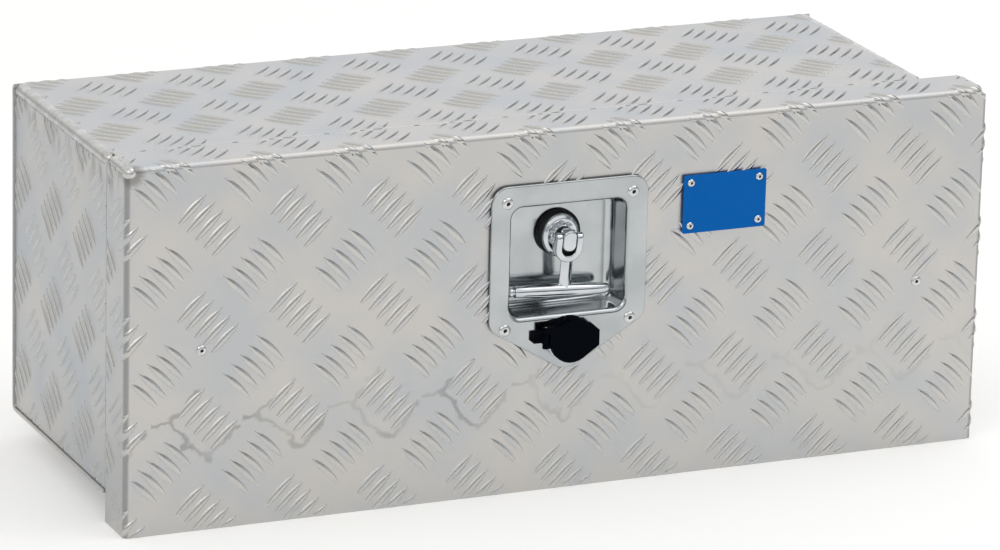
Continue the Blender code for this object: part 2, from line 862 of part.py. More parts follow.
def raise_door_bars(panel):
    """Bars on the door's front and its three flanges; the pattern is laid on the sheet unfolded."""
    start = (outer_left + tread_front_x, tread_front_height)
    left = door_left + door_fold
    right = door_right - door_fold
    top = door_top - door_fold
    round_bend = door_fold * math.pi / 2
    flat = door_depth - door_fold
    turn_y = door_front + door_fold
    notch = door_bead_radius + touch_gap
    places = bar_places((left, 0), (right, top), start)
    clear = [place for place in places if door_bar_is_clear(place[0], place[1])]
    raise_bars(panel, "door_front_bars", door_body, clear, lambda u, v, h: (u, door_front - h, v))
    places = bar_places((door_left + notch, top + round_bend), (door_right - notch, top + round_bend + flat), start)
    raise_bars(panel, "door_top_bars", door_body, places,
               lambda u, v, h: (u, turn_y + v - top - round_bend, door_top + h))
    places = bar_places((left - round_bend - flat, 0), (left - round_bend, door_top - notch), start)
    raise_bars(panel, "door_left_bars", door_body, places,
               lambda u, v, h: (door_left - h, turn_y + left - round_bend - u, v))
    places = bar_places((right + round_bend, 0), (right + round_bend + flat, door_top - notch), start)
    raise_bars(panel, "door_right_bars", door_body, places,
               lambda u, v, h: (door_right + h, turn_y + u - right - round_bend, v))


def rivet_places():
    """Every rivet that goes through the door's plate: name, x, z and shank radius."""
    places = []
    for name, x, z in dish_rivets():
        places.append((name, x, z, small_shank))
    for name, x, z in plate_rivets():
        places.append((name, x, z, small_shank))
    places.append(("stay_rivet_left", stay_left_x, stay_left_height, large_shank))
    places.append(("stay_rivet_right", stay_right_x, stay_right_height, large_shank))
    return places


def dish_rivets():
    """The four rivets of the latch dish."""
    return [
        (f"dish_rivet_{row}_{side}", latch_x + sign * dish_rivet_x, z)
        for row, z in (("upper", dish_rivet_high), ("lower", dish_rivet_low))
        for side, sign in (("left", -1), ("right", 1))
    ]


def plate_rivets():
    """The four rivets of the name plate."""
    return [
        (f"plate_rivet_{row}_{side}", plate_x + sign * plate_rivet_x, plate_height + lift * plate_rivet_z)
        for row, lift in (("upper", 1), ("lower", -1))
        for side, sign in (("left", -1), ("right", 1))
    ]


def build_door_beads():
    """Corner welds where the door's side flanges meet its top flange."""
    for side, edge, sign in (("left", door_left, 1), ("right", door_right, -1)):
        outline = corner_bead_outline(edge, door_top, door_bead_radius, sheet, sign)
        centre = (edge + sign * door_bead_radius, door_top - door_bead_radius)
        loops = []
        for share, back in door_bead_nose_shares:
            place = depth(door_bead_radius * back)
            nose = [
                (centre[0] + (u - centre[0]) * share, centre[1] + (v - centre[1]) * share)
                for u, v in outline
            ]
            loops.append([(u, place, v) for u, v in nose])
        loops.append([(u, depth(door_depth), v) for u, v in outline])
        add_piece("door_corner_weld_" + side, stack_mesh(loops), door_body, weld_metal, smooth=True)


def dish_outline(inset=0):
    """The dish flange: a square top and a point below, with round corners, in (x, z)."""
    half = dish_width / 2 - inset
    corners = [
        (-half, dish_top - inset, dish_corner - inset),
        (-half, dish_shoulder, dish_shoulder_corner),
        (0, dish_apex + inset, dish_apex_corner),
        (half, dish_shoulder, dish_shoulder_corner),
        (half, dish_top - inset, dish_corner - inset),
    ]
    return [(latch_x + u, v) for u, v in rounded_outline(corners)]


def recess_loop(grow_by, radius, y):
    """One level of the recess, as a rounded rectangle at a depth."""
    width = recess_width + 2 * grow_by
    height = recess_high - recess_low + 2 * grow_by
    centre = (latch_x, (recess_high + recess_low) / 2)
    return [(u, depth(y), v) for u, v in rounded_rectangle(width, height, radius, centre)]


def recess_mesh(wall, mouth, floor):
    """The recess as a block, its walls drawn in towards a rounded floor."""
    radius = recess_corner
    bend = recess_floor_round
    loops = [recess_loop(wall + (recess_roll if mouth < dish_back else 0), radius + wall, mouth)]
    if mouth < dish_back:
        loops.append(recess_loop(wall, radius + wall, dish_back))
    loops.append(recess_loop(wall - recess_draft, radius + wall, floor - bend))
    part = bend * recess_bend_share
    loops.append(recess_loop(wall - recess_draft - part, radius + wall, floor - part))
    loops.append(recess_loop(wall - recess_draft - bend, radius + wall, floor))
    return stack_mesh(loops)


def build_dish():
    """Pressed steel dish: flange, recess and the holes for spindle, lock and rivets."""
    flange = prism_mesh(dish_outline(), "Y", depth(dish_face), depth(dish_back))
    dish = add_piece("latch_dish", flange, door_body, steel, smooth=True)
    pan = add_tool("dish_pan", recess_mesh(dish_sheet, dish_back - dish_sheet / 2, floor_back), door_body)
    combine(dish, pan, "UNION")
    hollow = add_tool("dish_hollow", recess_mesh(0, dish_face - touch_gap, floor_face), door_body)
    combine(dish, hollow, "DIFFERENCE")
    bore(dish, door_body, hub_bore, floor_face - cut_overrun, floor_back + cut_overrun, spindle_axis, "Y")
    bore(dish, door_body, lock_body_bore, dish_face - cut_overrun, dish_back + cut_overrun, lock_axis, "Y")
    for name, x, z in dish_rivets():
        centre = (x, door_front, z)
        bore(dish, door_body, small_shank + hole_clearance, dish_face - cut_overrun, dish_back + cut_overrun,
             centre, "Y", small_round_steps)


def build_gasket():
    """Rubber gasket between the dish and the door's plate, following the flange's outline."""
    face = dish_back + touch_gap
    edge = recess_clearance
    mesh = prism_mesh(dish_outline(edge), "Y", depth(face), depth(face + gasket))
    piece = add_piece("dish_gasket", mesh, door_body, rubber)
    margin = dish_sheet + recess_clearance
    hole = [
        [(x, y, z) for x, _, z in recess_loop(margin, recess_corner + margin, 0)]
        for y in (depth(face - cut_overrun), depth(face + gasket + cut_overrun))
    ]
    combine(piece, add_tool("gasket_hole", stack_mesh(hole), door_body), "DIFFERENCE")
    bore(piece, door_body, lock_body_bore, face - cut_overrun, face + gasket + cut_overrun, lock_axis, "Y")
    for name, x, z in dish_rivets():
        centre = (x, door_front, z)
        bore(piece, door_body, small_shank + hole_clearance, face - cut_overrun, face + gasket + cut_overrun,
             centre, "Y", small_round_steps)


def build_rivets():
    """Blind rivets of the dish, the name plate and the stay brackets."""
    for name, x, z in dish_rivets():
        mesh = rivet_mesh(x, z, dish_face, sheet - dish_face, small_head, small_shank)
        add_piece(name, mesh, door_body, rivet_alloy, smooth=True)
    plate_face = -plate_stand_off - plate_thickness
    for name, x, z in plate_rivets():
        mesh = rivet_mesh(x, z, plate_face, sheet - plate_face, small_head, small_shank)
        add_piece(name, mesh, door_body, rivet_alloy, smooth=True)
    for side, x, z in (("left", stay_left_x, stay_left_height), ("right", stay_right_x, stay_right_height)):
        grip = sheet + touch_gap + sheet
        mesh = rivet_mesh(x, z, 0, grip, large_head, large_shank)
        add_piece("stay_rivet_" + side, mesh, door_body, rivet_alloy, smooth=True)


def build_name_plate():
    """Bare blue plate that stands on the raised bars."""
    outline = rounded_rectangle(plate_width, plate_tall, plate_corner, (plate_x, plate_height))
    start = depth(-plate_stand_off - plate_thickness)
    mesh = prism_mesh(outline, "Y", start, start + plate_thickness)
    plate = add_piece("name_plate", mesh, door_body, blue_enamel)
    low = -plate_stand_off - plate_thickness - cut_overrun
    high = -plate_stand_off + cut_overrun
    for name, x, z in plate_rivets():
        bore(plate, door_body, small_shank + hole_clearance, low, high, (x, door_front, z), "Y",
             small_round_steps)


def hub_faces():
    """Depths of the hub's stack in front of the dish floor: ring, washer and nut, each as (front, back)."""
    ring_back = floor_face - touch_gap
    ring_front = ring_back - hub_ring_thickness
    washer_back = ring_front - touch_gap
    washer_front = washer_back - hub_washer_thickness
    nut_back = washer_front - touch_gap
    nut_front = nut_back - hub_nut_thickness
    return (ring_front, ring_back), (washer_front, washer_back), (nut_front, nut_back)


def build_hub():
    """What carries the handle: rubber ring, washer, nut, and the fixed hub with its flat tongue."""
    ring, washer, nut = hub_faces()
    profile = [
        (hub_ring_radius - hub_ring_front_round, ring[0]),
        (hub_ring_radius, ring[0] + hub_ring_front_round),
        (hub_ring_radius, ring[1] - hub_ring_back_round),
        (hub_ring_radius - hub_ring_back_round, ring[1]),
    ]
    hole = hub_radius + hole_clearance
    mesh = turned_mesh(profile, spindle_axis, "Y", large_round_steps)
    piece = add_piece("hub_ring", mesh, door_body, rubber, smooth=True)
    bore(piece, door_body, hole, ring[0] - cut_overrun, ring[1] + cut_overrun, spindle_axis, "Y")
    mesh = rod_mesh(hub_washer_radius, washer[0], washer[1], spindle_axis, "Y", large_round_steps)
    piece = add_piece("hub_washer", mesh, door_body, chrome, smooth=True)
    bore(piece, door_body, hole, washer[0] - cut_overrun, washer[1] + cut_overrun, spindle_axis, "Y")
    outline = hex_outline(hub_nut_flats, (latch_x, spindle_height))
    mesh = prism_mesh(outline, "Y", depth(nut[0]), depth(nut[1]))
    piece = add_piece("hub_nut", mesh, door_body, chrome)
    bore(piece, door_body, hole, nut[0] - cut_overrun, nut[1] + cut_overrun, spindle_axis, "Y")
    shoulder = nut[0] - touch_gap
    barrel = [
        (hub_radius, shoulder - touch_gap),
        (hub_radius, floor_back),
    ]
    hub = add_piece("latch_hub", turned_mesh(barrel, spindle_axis, "Y"), door_body, chrome, smooth=True)
    turn = handle_frame(handle_turn, 0)
    centre = (latch_x, spindle_height)
    outline = rounded_rectangle(tongue_width, tongue_height, tongue_corner, centre)
    nose = [
        (centre[0] + (x - centre[0]) * tongue_nose_share, centre[1] + (z - centre[1]) * tongue_nose_share)
        for x, z in outline
    ]
    loops = [
        [(x, depth(-tongue_reach), z) for x, z in nose],
        [(x, depth(-tongue_reach + tongue_nose_depth), z) for x, z in outline],
        [(x, depth(shoulder), z) for x, z in outline],
    ]
    combine(hub, add_tool("hub_tongue", stack_mesh(loops), door_body, turn), "UNION")
    pin_hole = rod_mesh(fork_pin_bore, -tongue_width, tongue_width, fork_axis, "X")
    combine(hub, add_tool("hub_pin_hole", pin_hole, door_body, turn), "DIFFERENCE")


def handle_frame(turn, sink):
    """Turn about the spindle's axis, after sinking the handle about its cross pin."""
    to_pin = Matrix.Translation(fork_axis)
    return to_pin @ Matrix.Rotation(turn, 4, "Y") @ Matrix.Rotation(sink, 4, "X") @ to_pin.inverted()


def build_handle():
    """Folding T-handle: a fork round the tongue, a stem and a tapered cross bar, and the cross pin."""
    frame = handle_frame(handle_turn, handle_sink)
    straight = handle_frame(handle_turn, 0)
    gap = tongue_width / 2 + fork_side_gap
    outer = gap + fork_prong
    low = spindle_height - fork_drop + gap
    x = latch_x
    z = spindle_height
    outline = [(x + outer, z + fork_eye), (x + gap, z + fork_eye)]
    outline += arc((x, low), gap, 0, -math.pi, 2 * fold_steps)
    outline += [(x - gap, z + fork_eye), (x - outer, z + fork_eye)]
    outline += arc((x, low), outer, -math.pi, 0, 2 * fold_steps)
    start = depth(fork_pin_depth - fork_depth / 2)
    fork = prism_mesh(outline, "Y", start, start + fork_depth)
    handle = add_piece("t_handle", fork, handle_body, chrome, smooth=True, turn=frame)
    stem_top = low - gap - fork_prong / 2
    bar_height = spindle_height - bar_drop
    stem = rod_mesh(stem_radius, bar_height, stem_top, (x, fork_axis.y, 0), "Z")
    combine(handle, add_tool("handle_stem", stem, handle_body, frame), "UNION")
    half = bar_length / 2
    left_end = [(bar_radius * wide, -half + bar_radius * along) for wide, along in bar_end_shares]
    right_end = [(radius, -along) for radius, along in reversed(left_end)]
    profile = left_end + [(bar_radius, -half / 2), (bar_radius, half / 2)] + right_end
    bar = turned_mesh(profile, (x, fork_axis.y, bar_height), "X")
    combine(handle, add_tool("handle_bar", bar, handle_body, frame), "UNION")
    hole = rod_mesh(fork_pin_bore, -2 * outer, 2 * outer, fork_axis, "X")
    combine(handle, add_tool("handle_pin_hole", hole, handle_body, straight), "DIFFERENCE")
    pin = rod_mesh(fork_pin_radius, -outer, outer, fork_axis, "X")
    add_piece("handle_pin", pin, door_body, steel, smooth=True, turn=straight)


def cam_front():
    """Depth of the cam's front face."""
    return floor_back + touch_gap + collar_depth + cam_stand_off


def build_cam():
    """Behind the dish: the fixed collar, and the turning spindle with its cam and nut."""
    start = floor_back + touch_gap
    stop = start + collar_depth
    mesh = tube_mesh(collar_radius, cam_spindle_bore, start, stop, spindle_axis, "Y", tube_steps)
    add_piece("spindle_collar", mesh, door_body, steel, smooth=True)
    end = cam_front() + cam_thickness + touch_gap + cam_nut_thickness + touch_gap
    mesh = rod_mesh(cam_spindle_radius, floor_back + touch_gap, end, spindle_axis, "Y")
    add_piece("cam_spindle", mesh, cam_body, steel, smooth=True)
    half = cam_width / 2
    reach = cam_length - half
    outline = arc((latch_x, spindle_height), half, math.pi / 2, 3 * math.pi / 2, 2 * fold_steps)
    outline += arc((latch_x + reach, spindle_height), half, -math.pi / 2, math.pi / 2, 2 * fold_steps)
    mesh = prism_mesh(outline, "Y", depth(cam_front()), depth(cam_front() + cam_thickness))
    cam = add_piece("latch_cam", mesh, cam_body, steel)
    hole = cam_spindle_radius + touch_gap
    bore(cam, cam_body, hole, cam_front() - cut_overrun, cam_front() + cam_thickness + cut_overrun,
         spindle_axis, "Y")
    nut_start = cam_front() + cam_thickness + touch_gap
    outline = hex_outline(cam_nut_flats, (latch_x, spindle_height))
    mesh = prism_mesh(outline, "Y", depth(nut_start), depth(nut_start + cam_nut_thickness))
    nut = add_piece("cam_nut", mesh, cam_body, steel)
    bore(nut, cam_body, hole, nut_start - cut_overrun, nut_start + cam_nut_thickness + cut_overrun,
         spindle_axis, "Y")


def build_lock():
    """Key lock: housing through the door, bezel in front, turning plug and its small cam behind."""
    back = sheet + lock_body_reach
    front = dish_face - touch_gap
    housing = tube_mesh(lock_body_radius, plug_bore, front, back, lock_axis, "Y", tube_steps)
    add_piece("lock_housing", housing, door_body, steel, smooth=True)
    hole = lock_body_radius + hole_clearance
    profile = [
        (bezel_radius - bezel_round, bezel_face),
        (bezel_radius, bezel_face + bezel_round),
        (bezel_radius, dish_face - touch_gap),
    ]
    mesh = turned_mesh(profile, lock_axis, "Y", large_round_steps)
    bezel = add_piece("lock_bezel", mesh, door_body, chrome, smooth=True)
    seat = dish_face - touch_gap
    bore(bezel, door_body, plug_bore, bezel_face - cut_overrun, seat + cut_overrun, lock_axis, "Y", tube_steps)
    bore(bezel, door_body, hole, front - touch_gap, seat + cut_overrun, lock_axis, "Y", tube_steps)
    plug_front = bezel_face + touch_gap
    plug_back = back + lock_cam_gap + lock_cam_thickness
    mesh = rod_mesh(plug_radius, plug_front, plug_back, lock_axis, "Y")
    plug = add_piece("lock_plug", mesh, plug_body, steel, smooth=True)
    low = (latch_x - keyway_width / 2, depth(plug_front - cut_overrun), lock_height - keyway_height / 2)
    high = (latch_x + keyway_width / 2, depth(plug_front + keyway_depth), lock_height + keyway_height / 2)
    combine(plug, add_tool("keyway", box_mesh(low, high), plug_body), "DIFFERENCE")
    outline = arc((latch_x, lock_height), lock_cam_radius, 0, math.pi, 2 * fold_steps)
    reach = lock_cam_length - lock_cam_radius
    outline += arc((latch_x, lock_height - reach), lock_cam_tip_radius, -math.pi, 0, fold_steps)
    start = back + lock_cam_gap
    mesh = prism_mesh(outline, "Y", depth(start), depth(start + lock_cam_thickness - touch_gap))
    cam = add_piece("lock_cam", mesh, plug_body, steel)
    hole = plug_radius + touch_gap
    bore(cam, plug_body, hole, start - cut_overrun, start + lock_cam_thickness + cut_overrun, lock_axis, "Y",
         tube_steps)


def cover_outline(inset):
    """Outline of the key cover, in (x, z): a round lid with a block behind it and a squared thumb tab."""
    radius = cover_radius - inset
    right = cover_tab_right - inset
    tab_low = -cover_tab_low + inset
    tab_top = cover_tab_top - inset
    block_top = cover_block_top - inset
    block_low = -cover_block_low + inset
    tangent = math.atan2(tab_low, right) - math.acos(radius / math.hypot(right, tab_low))
    points = [(right, tab_low), (right, tab_top), (cover_block_right - inset, block_top)]
    crown = math.asin(block_top / radius)
    points += arc((0, 0), radius, crown, math.pi - crown, fold_steps)
    points += [(-cover_pivot_x, block_top), (-cover_pivot_x, block_low)]
    start = math.pi - math.asin(block_low / radius)
    points += arc((0, 0), radius, start, 2 * math.pi + tangent, 2 * fold_steps)
    return [(latch_x + u, lock_height + v) for u, v in points]


def build_cover():
    """Swinging key cover: the lid, a barrel at its left end in two halves, with room for the fixed eye."""
    back = bezel_face - touch_gap
    levels = [(cover_edge, cover_face), (0, cover_face + cover_edge), (0, back)]
    loops = [[(x, depth(y), z) for x, z in cover_outline(inset)] for inset, y in levels]
    cover = add_piece("key_cover", stack_mesh(loops), cover_body, rubber, smooth=True)
    low = lock_height - cover_block_low
    high = lock_height + cover_block_top
    barrel = rod_mesh(cover_barrel_radius, low, high, (cover_axis.x, cover_axis.y, 0), "Z")
    combine(cover, add_tool("cover_barrel", barrel, cover_body), "UNION")
    reach = cover_barrel_radius + touch_gap
    notch = box_mesh(
        (cover_axis.x - 2 * reach, cover_axis.y - 2 * reach, lock_height - cover_eye_low - touch_gap),
        (cover_axis.x + reach, cover_axis.y + 2 * reach, lock_height + cover_eye_top + touch_gap),
    )
    combine(cover, add_tool("cover_notch", notch, cover_body), "DIFFERENCE")
    bore(cover, cover_body, cover_barrel_bore, low - cut_overrun, high + cut_overrun,
         (cover_axis.x, cover_axis.y, 0), "Z")


def build_cover_hinge():
    """The cover's foot on the dish flange, with the eye for the pin."""
    low = lock_height - cover_eye_low
    high = lock_height + cover_eye_top
    seat = depth(dish_face - touch_gap)
    front = cover_axis.y + cover_thickness / 2 + touch_gap
    left = latch_x - cover_foot_left
    right = latch_x - bezel_radius - touch_gap
    foot = add_piece("cover_hinge", box_mesh((left, front, low), (right, seat, high)), door_body, rubber)
    upright = box_mesh(
        (cover_axis.x - cover_barrel_radius, cover_axis.y, low),
        (cover_axis.x + cover_barrel_radius, front + touch_gap, high),
    )
    combine(foot, add_tool("cover_upright", upright, door_body), "UNION")
    eye = rod_mesh(cover_barrel_radius, low, high, (cover_axis.x, cover_axis.y, 0), "Z")
    combine(foot, add_tool("cover_eye", eye, door_body), "UNION")
    bore(foot, door_body, cover_barrel_bore, low - cut_overrun, high + cut_overrun,
         (cover_axis.x, cover_axis.y, 0), "Z")
    pin = rod_mesh(cover_pin_radius, lock_height - cover_block_low, lock_height + cover_block_top,
                   (cover_axis.x, cover_axis.y, 0), "Z", small_round_steps)
    add_piece("cover_pin", pin, door_body, steel, smooth=True)


def build_stay(side, rivet_x, height, arm_side, plate_face):
    """One stay: door bracket, pivot pin, slotted arm on its own axis, and the stud on the end plate."""
    pivot, stud = stay_points(height)
    ear_high = rivet_x - stay_ear_offset + sheet
    ear_low = rivet_x - stay_ear_offset
    base_face = depth(sheet + touch_gap)
    base_back = base_face + sheet
    half = stay_base_height / 2
    low = (ear_low, base_face, height - half)
    high = (rivet_x + stay_base_beyond, base_back, height + half)
    bracket = add_piece("stay_bracket_" + side, box_mesh(low, high), door_body, plain_aluminium)
    ear = [(base_face, height - half), (base_face, height + half)]
    ear += arc(pivot, stay_ear_radius, math.pi / 3, -math.pi / 3, fold_steps)
    combine(bracket, add_tool("stay_ear_" + side, prism_mesh(ear, "X", ear_low, ear_high), door_body), "UNION")
    overhang = stay_pin_head_thickness + touch_gap
    centre = (0, pivot.x, pivot.y)
    bore(bracket, door_body, stay_pin_bore, ear_low - cut_overrun, ear_high + cut_overrun, centre, "X")
    rivet_hole = (rivet_x, door_front, height)
    bore(bracket, door_body, large_shank + hole_clearance, 0, 2 * sheet + cut_overrun, rivet_hole, "Y")
    if arm_side > 0:
        arm_low = ear_high + touch_gap
        arm_high = arm_low + stay_arm_thickness
        pin_low, pin_high = ear_low - overhang, arm_high + overhang
        stud_start, stud_stop = arm_low - overhang, plate_face
    else:
        arm_high = ear_low - touch_gap
        arm_low = arm_high - stay_arm_thickness
        pin_low, pin_high = arm_low - overhang, ear_high + overhang
        stud_start, stud_stop = plate_face, arm_high + overhang
    pin = turned_mesh(
        [
            (stay_pin_head, pin_low),
            (stay_pin_head, pin_low + stay_pin_head_thickness),
            (stay_pin_radius, pin_low + stay_pin_head_thickness),
            (stay_pin_radius, pin_high - stay_pin_head_thickness),
            (stay_pin_head, pin_high - stay_pin_head_thickness),
            (stay_pin_head, pin_high),
        ],
        centre,
        "X",
    )
    add_piece("stay_pin_" + side, pin, door_body, steel, smooth=True)
    build_stay_arm(side, pivot, stud, arm_low, arm_high)
    build_stay_stud(side, stud, stud_start, stud_stop, arm_side)


def build_stay_arm(side, pivot, stud, arm_low, arm_high):
    """The slotted arm. Its slot runs from the stud's place with the door shut to its place with it open."""
    body = Body("stay_" + side, (0, pivot.x, pivot.y), door_body)
    hinge = Vector((hinge_axis.y, hinge_axis.z))
    radius = (pivot - hinge).length
    spread = (pivot - hinge).angle(stud - hinge)
    shut = 2 * radius * math.sin(spread / 2)
    opened = 2 * radius * math.sin((spread + door_swing) / 2)
    along = (stud - pivot).normalized()
    slot_radius = stay_stud_radius + stay_slot_gap
    bearing = math.atan2(along.y, along.x)
    end = pivot + along * opened

    def capsule(start, stop, radius):
        outline = arc(start, radius, bearing + math.pi / 2, bearing + 3 * math.pi / 2, 2 * fold_steps)
        return outline + arc(stop, radius, bearing - math.pi / 2, bearing + math.pi / 2, 2 * fold_steps)

    mesh = prism_mesh(capsule(pivot, end, stay_arm_radius), "X", arm_low, arm_high)
    arm = add_piece("stay_arm_" + side, mesh, body, plain_aluminium)
    slot = capsule(pivot + along * (shut - slot_radius / 2), end, slot_radius)
    tool = prism_mesh(slot, "X", arm_low - cut_overrun, arm_high + cut_overrun)
    combine(arm, add_tool("stay_slot_" + side, tool, body), "DIFFERENCE")
    centre = (0, pivot.x, pivot.y)
    bore(arm, body, stay_pin_bore, arm_low - cut_overrun, arm_high + cut_overrun, centre, "X")


def build_stay_stud(side, stud, start, stop, arm_side):
    """Stud that the slot runs on, with a flange at the end plate and a head beyond the arm."""
    flange = stay_stud_flange_thickness
    head = stay_stud_head
    head_thickness = stay_pin_head_thickness
    if arm_side > 0:
        profile = [
            (head, start),
            (head, start + head_thickness),
            (stay_stud_radius, start + head_thickness),
            (stay_stud_radius, stop - flange - touch_gap),
            (stay_stud_flange, stop - flange - touch_gap),
            (stay_stud_flange, stop - touch_gap),
        ]
    else:
        profile = [
            (stay_stud_flange, start + touch_gap),
            (stay_stud_flange, start + touch_gap + flange),
            (stay_stud_radius, start + touch_gap + flange),
            (stay_stud_radius, stop - head_thickness),
            (head, stop - head_thickness),
            (head, stop),
        ]
    mesh = turned_mesh(profile, (0, stud.x, stud.y), "X")
    add_piece("stay_stud_" + side, mesh, box_body, steel, smooth=True)


def build_stays():
    """The left and right stays."""
    left_face = body_left + end_plate_inset + sheet
    right_face = body_right - end_plate_inset - sheet
    build_stay("left", stay_left_x, stay_left_height, -1, left_face)
    build_stay("right", stay_right_x, stay_right_height, 1, right_face)


build_wrap()
build_end_plates()
build_body_beads()
build_collar()
build_seal()
build_hinge_rail()
build_hinge()
build_keeper()
build_door_panel()
build_door_beads()
build_dish()
build_gasket()
build_rivets()
build_name_plate()
build_hub()
build_handle()
build_cam()
build_lock()
build_cover()
build_cover_hinge()
build_stays()
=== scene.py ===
# %% [markdown]
# # A checker plate truck box
#
# The real thing is a small aluminium tool box that is bolted under or onto a truck. A folded
# door hangs on a long hinge at the bottom and is held shut by a folding T handle in a pressed
# steel dish. This lesson dresses the measured parts of that box: raised five-bar pattern,
# weld beads, pressed dish, chrome handle, black key cover and blue name plate.
#
# The measured parts come in first. They are the frame that every dressed piece has to fit.

# %% Load the frame
import math

import bmesh
import bpy
import numpy as np
from mathutils import Matrix, Vector


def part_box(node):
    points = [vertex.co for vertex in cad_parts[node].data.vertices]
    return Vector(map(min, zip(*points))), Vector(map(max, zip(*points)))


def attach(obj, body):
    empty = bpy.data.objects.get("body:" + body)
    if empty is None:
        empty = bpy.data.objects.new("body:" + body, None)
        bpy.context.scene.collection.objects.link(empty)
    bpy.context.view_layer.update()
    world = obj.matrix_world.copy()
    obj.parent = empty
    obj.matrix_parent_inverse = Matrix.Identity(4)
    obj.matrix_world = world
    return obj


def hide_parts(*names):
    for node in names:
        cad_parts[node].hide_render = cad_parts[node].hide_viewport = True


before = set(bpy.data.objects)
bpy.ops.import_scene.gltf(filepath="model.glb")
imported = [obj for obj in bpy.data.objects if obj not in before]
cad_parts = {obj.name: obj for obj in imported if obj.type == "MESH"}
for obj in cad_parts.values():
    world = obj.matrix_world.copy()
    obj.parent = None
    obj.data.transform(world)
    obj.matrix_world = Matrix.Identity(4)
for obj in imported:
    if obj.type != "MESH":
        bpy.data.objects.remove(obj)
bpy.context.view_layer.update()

# %% [markdown]
# Every measure below is in millimetres on the door, as a maker would read it off with a rule:
# x runs from the door's left edge, depth runs back from its front face, z runs up from its
# bottom edge. One function turns such a place into the frame's metres.

# %% Door millimetres to metres
MM = 0.001
bar_height = 1.3
door_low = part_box("door_panel")[0]
door_front = door_low.y + bar_height * MM


def place(x, depth, z):
    """A place in door millimetres, in the frame's metres."""
    return Vector((door_low.x + x * MM, door_front + depth * MM, z * MM))


def in_mm(node):
    """Lowest and highest corner of a CAD node, in door millimetres."""
    shift = Vector((door_low.x, door_front, 0))
    return tuple((corner - shift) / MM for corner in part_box(node))


print("door is", [round(v, 1) for v in in_mm("door_panel")[1]], "mm")

# %% [markdown]
# ## Camera
#
# The photograph was taken from far away with a long lens, so the edges hardly converge. A long
# lens cannot be guessed by eye. It was worked out from the corners of the box, and the camera's
# axes are written as one matrix, so that the small tilt of the photograph is kept too.

# %% Camera
camera_turn, camera_drop, camera_tilt = (math.radians(a) for a in (23.71, 17.27, 1.46))
look = Vector((
    math.sin(camera_turn) * math.cos(camera_drop),
    math.cos(camera_turn) * math.cos(camera_drop),
    -math.sin(camera_drop),
))
level = look.cross(Vector((0, 0, 1))).normalized()
upright = level.cross(look)
right = level * math.cos(camera_tilt) + upright * math.sin(camera_tilt)
up = upright * math.cos(camera_tilt) - level * math.sin(camera_tilt)

camera_data = bpy.data.cameras.new("photo_camera")
camera_data.lens = 218.74
camera_data.sensor_width = 36
camera = bpy.data.objects.new("photo_camera", camera_data)
camera.matrix_world = Matrix.Translation((-1.6305, -3.7084, 1.3809)) @ Matrix(
    (right, up, -look)
).transposed().to_4x4()
bpy.context.scene.collection.objects.link(camera)
bpy.context.scene.camera = camera
bpy.context.scene.view_settings.view_transform = "Standard"
print("camera looks along", [round(v, 3) for v in look])

# %% [markdown]
# ## Nodes
#
# Materials and Geometry Nodes are both trees of nodes. One small function adds a node, sets its
# own fields and fills its sockets with numbers or with links, so that each finish below reads
# like a recipe. A second one adds several nodes from a table, for sums that take many steps. In
# such a table a MapRange row gives its value, the range that it comes from and the new range.
# Colours are written the way a paint chart gives them, as sRGB hex, and turned to linear light
# in one place.

# %% Node and colour helpers
TONE, OTHER_TONE = 6, 7  # the two colour sockets of a Mix node


def add(tree, kind, inputs=(), **fields):
    """Add a node: fields are its settings, inputs fills its sockets by name or in order.

    A value may also be a socket, or a node, which stands for its first output in use.
    """
    new = tree.nodes.new(kind if "Node" in kind else "ShaderNode" + kind)
    for field, value in fields.items():
        setattr(new, field, value)
    for key, value in inputs.items() if isinstance(inputs, dict) else enumerate(inputs):
        if isinstance(value, bpy.types.Node):
            value = next(output for output in value.outputs if output.enabled)
        if isinstance(value, bpy.types.NodeSocket):
            tree.links.new(value, new.inputs[key])
        else:
            new.inputs[key].default_value = value
    return new


def add_rows(tree, known, rows):
    """Add a node for each row: its name, its kind and operation, and its inputs.

    An input given as a name means an earlier row, or what known holds under it.
    """
    for name, kind, *inputs in rows:
        kind, _, operation = kind.partition(" ")
        values = [known[value] if isinstance(value, str) else value for value in inputs]
        fields = {"operation": operation} if operation else {}
        known[name] = add(tree, kind, values, **fields)


def hex_colour(text):
    """sRGB hex such as '#C4C4C1' to linear red, green, blue and alpha."""
    channels = [int(text[i:i + 2], 16) / 255 for i in (1, 3, 5)]
    linear = [c / 12.92 if c <= 0.04045 else ((c + 0.055) / 1.055) ** 2.4 for c in channels]
    return (*linear, 1.0)


def new_material(name):
    """An empty node material; returns the material and its tree."""
    material = bpy.data.materials.new(name)
    material.use_nodes = True
    material.node_tree.nodes.clear()
    return material, material.node_tree


print("mid grey is", round(hex_colour("#808080")[0], 3), "in linear light")

# %% [markdown]
# ## Metal finishes
#
# Most of the box is one of four metals, and they differ in three things: how bright the metal
# is, how blurred its reflections are, and what marks the making left on it. So one recipe takes
# these as arguments. It mixes two tones through a soft cloud of noise, varies the roughness a
# little, and adds fine streaks along the way the metal was rolled or brushed. The streaks are
# noise stretched through a Mapping node: much finer across the grain than along it.

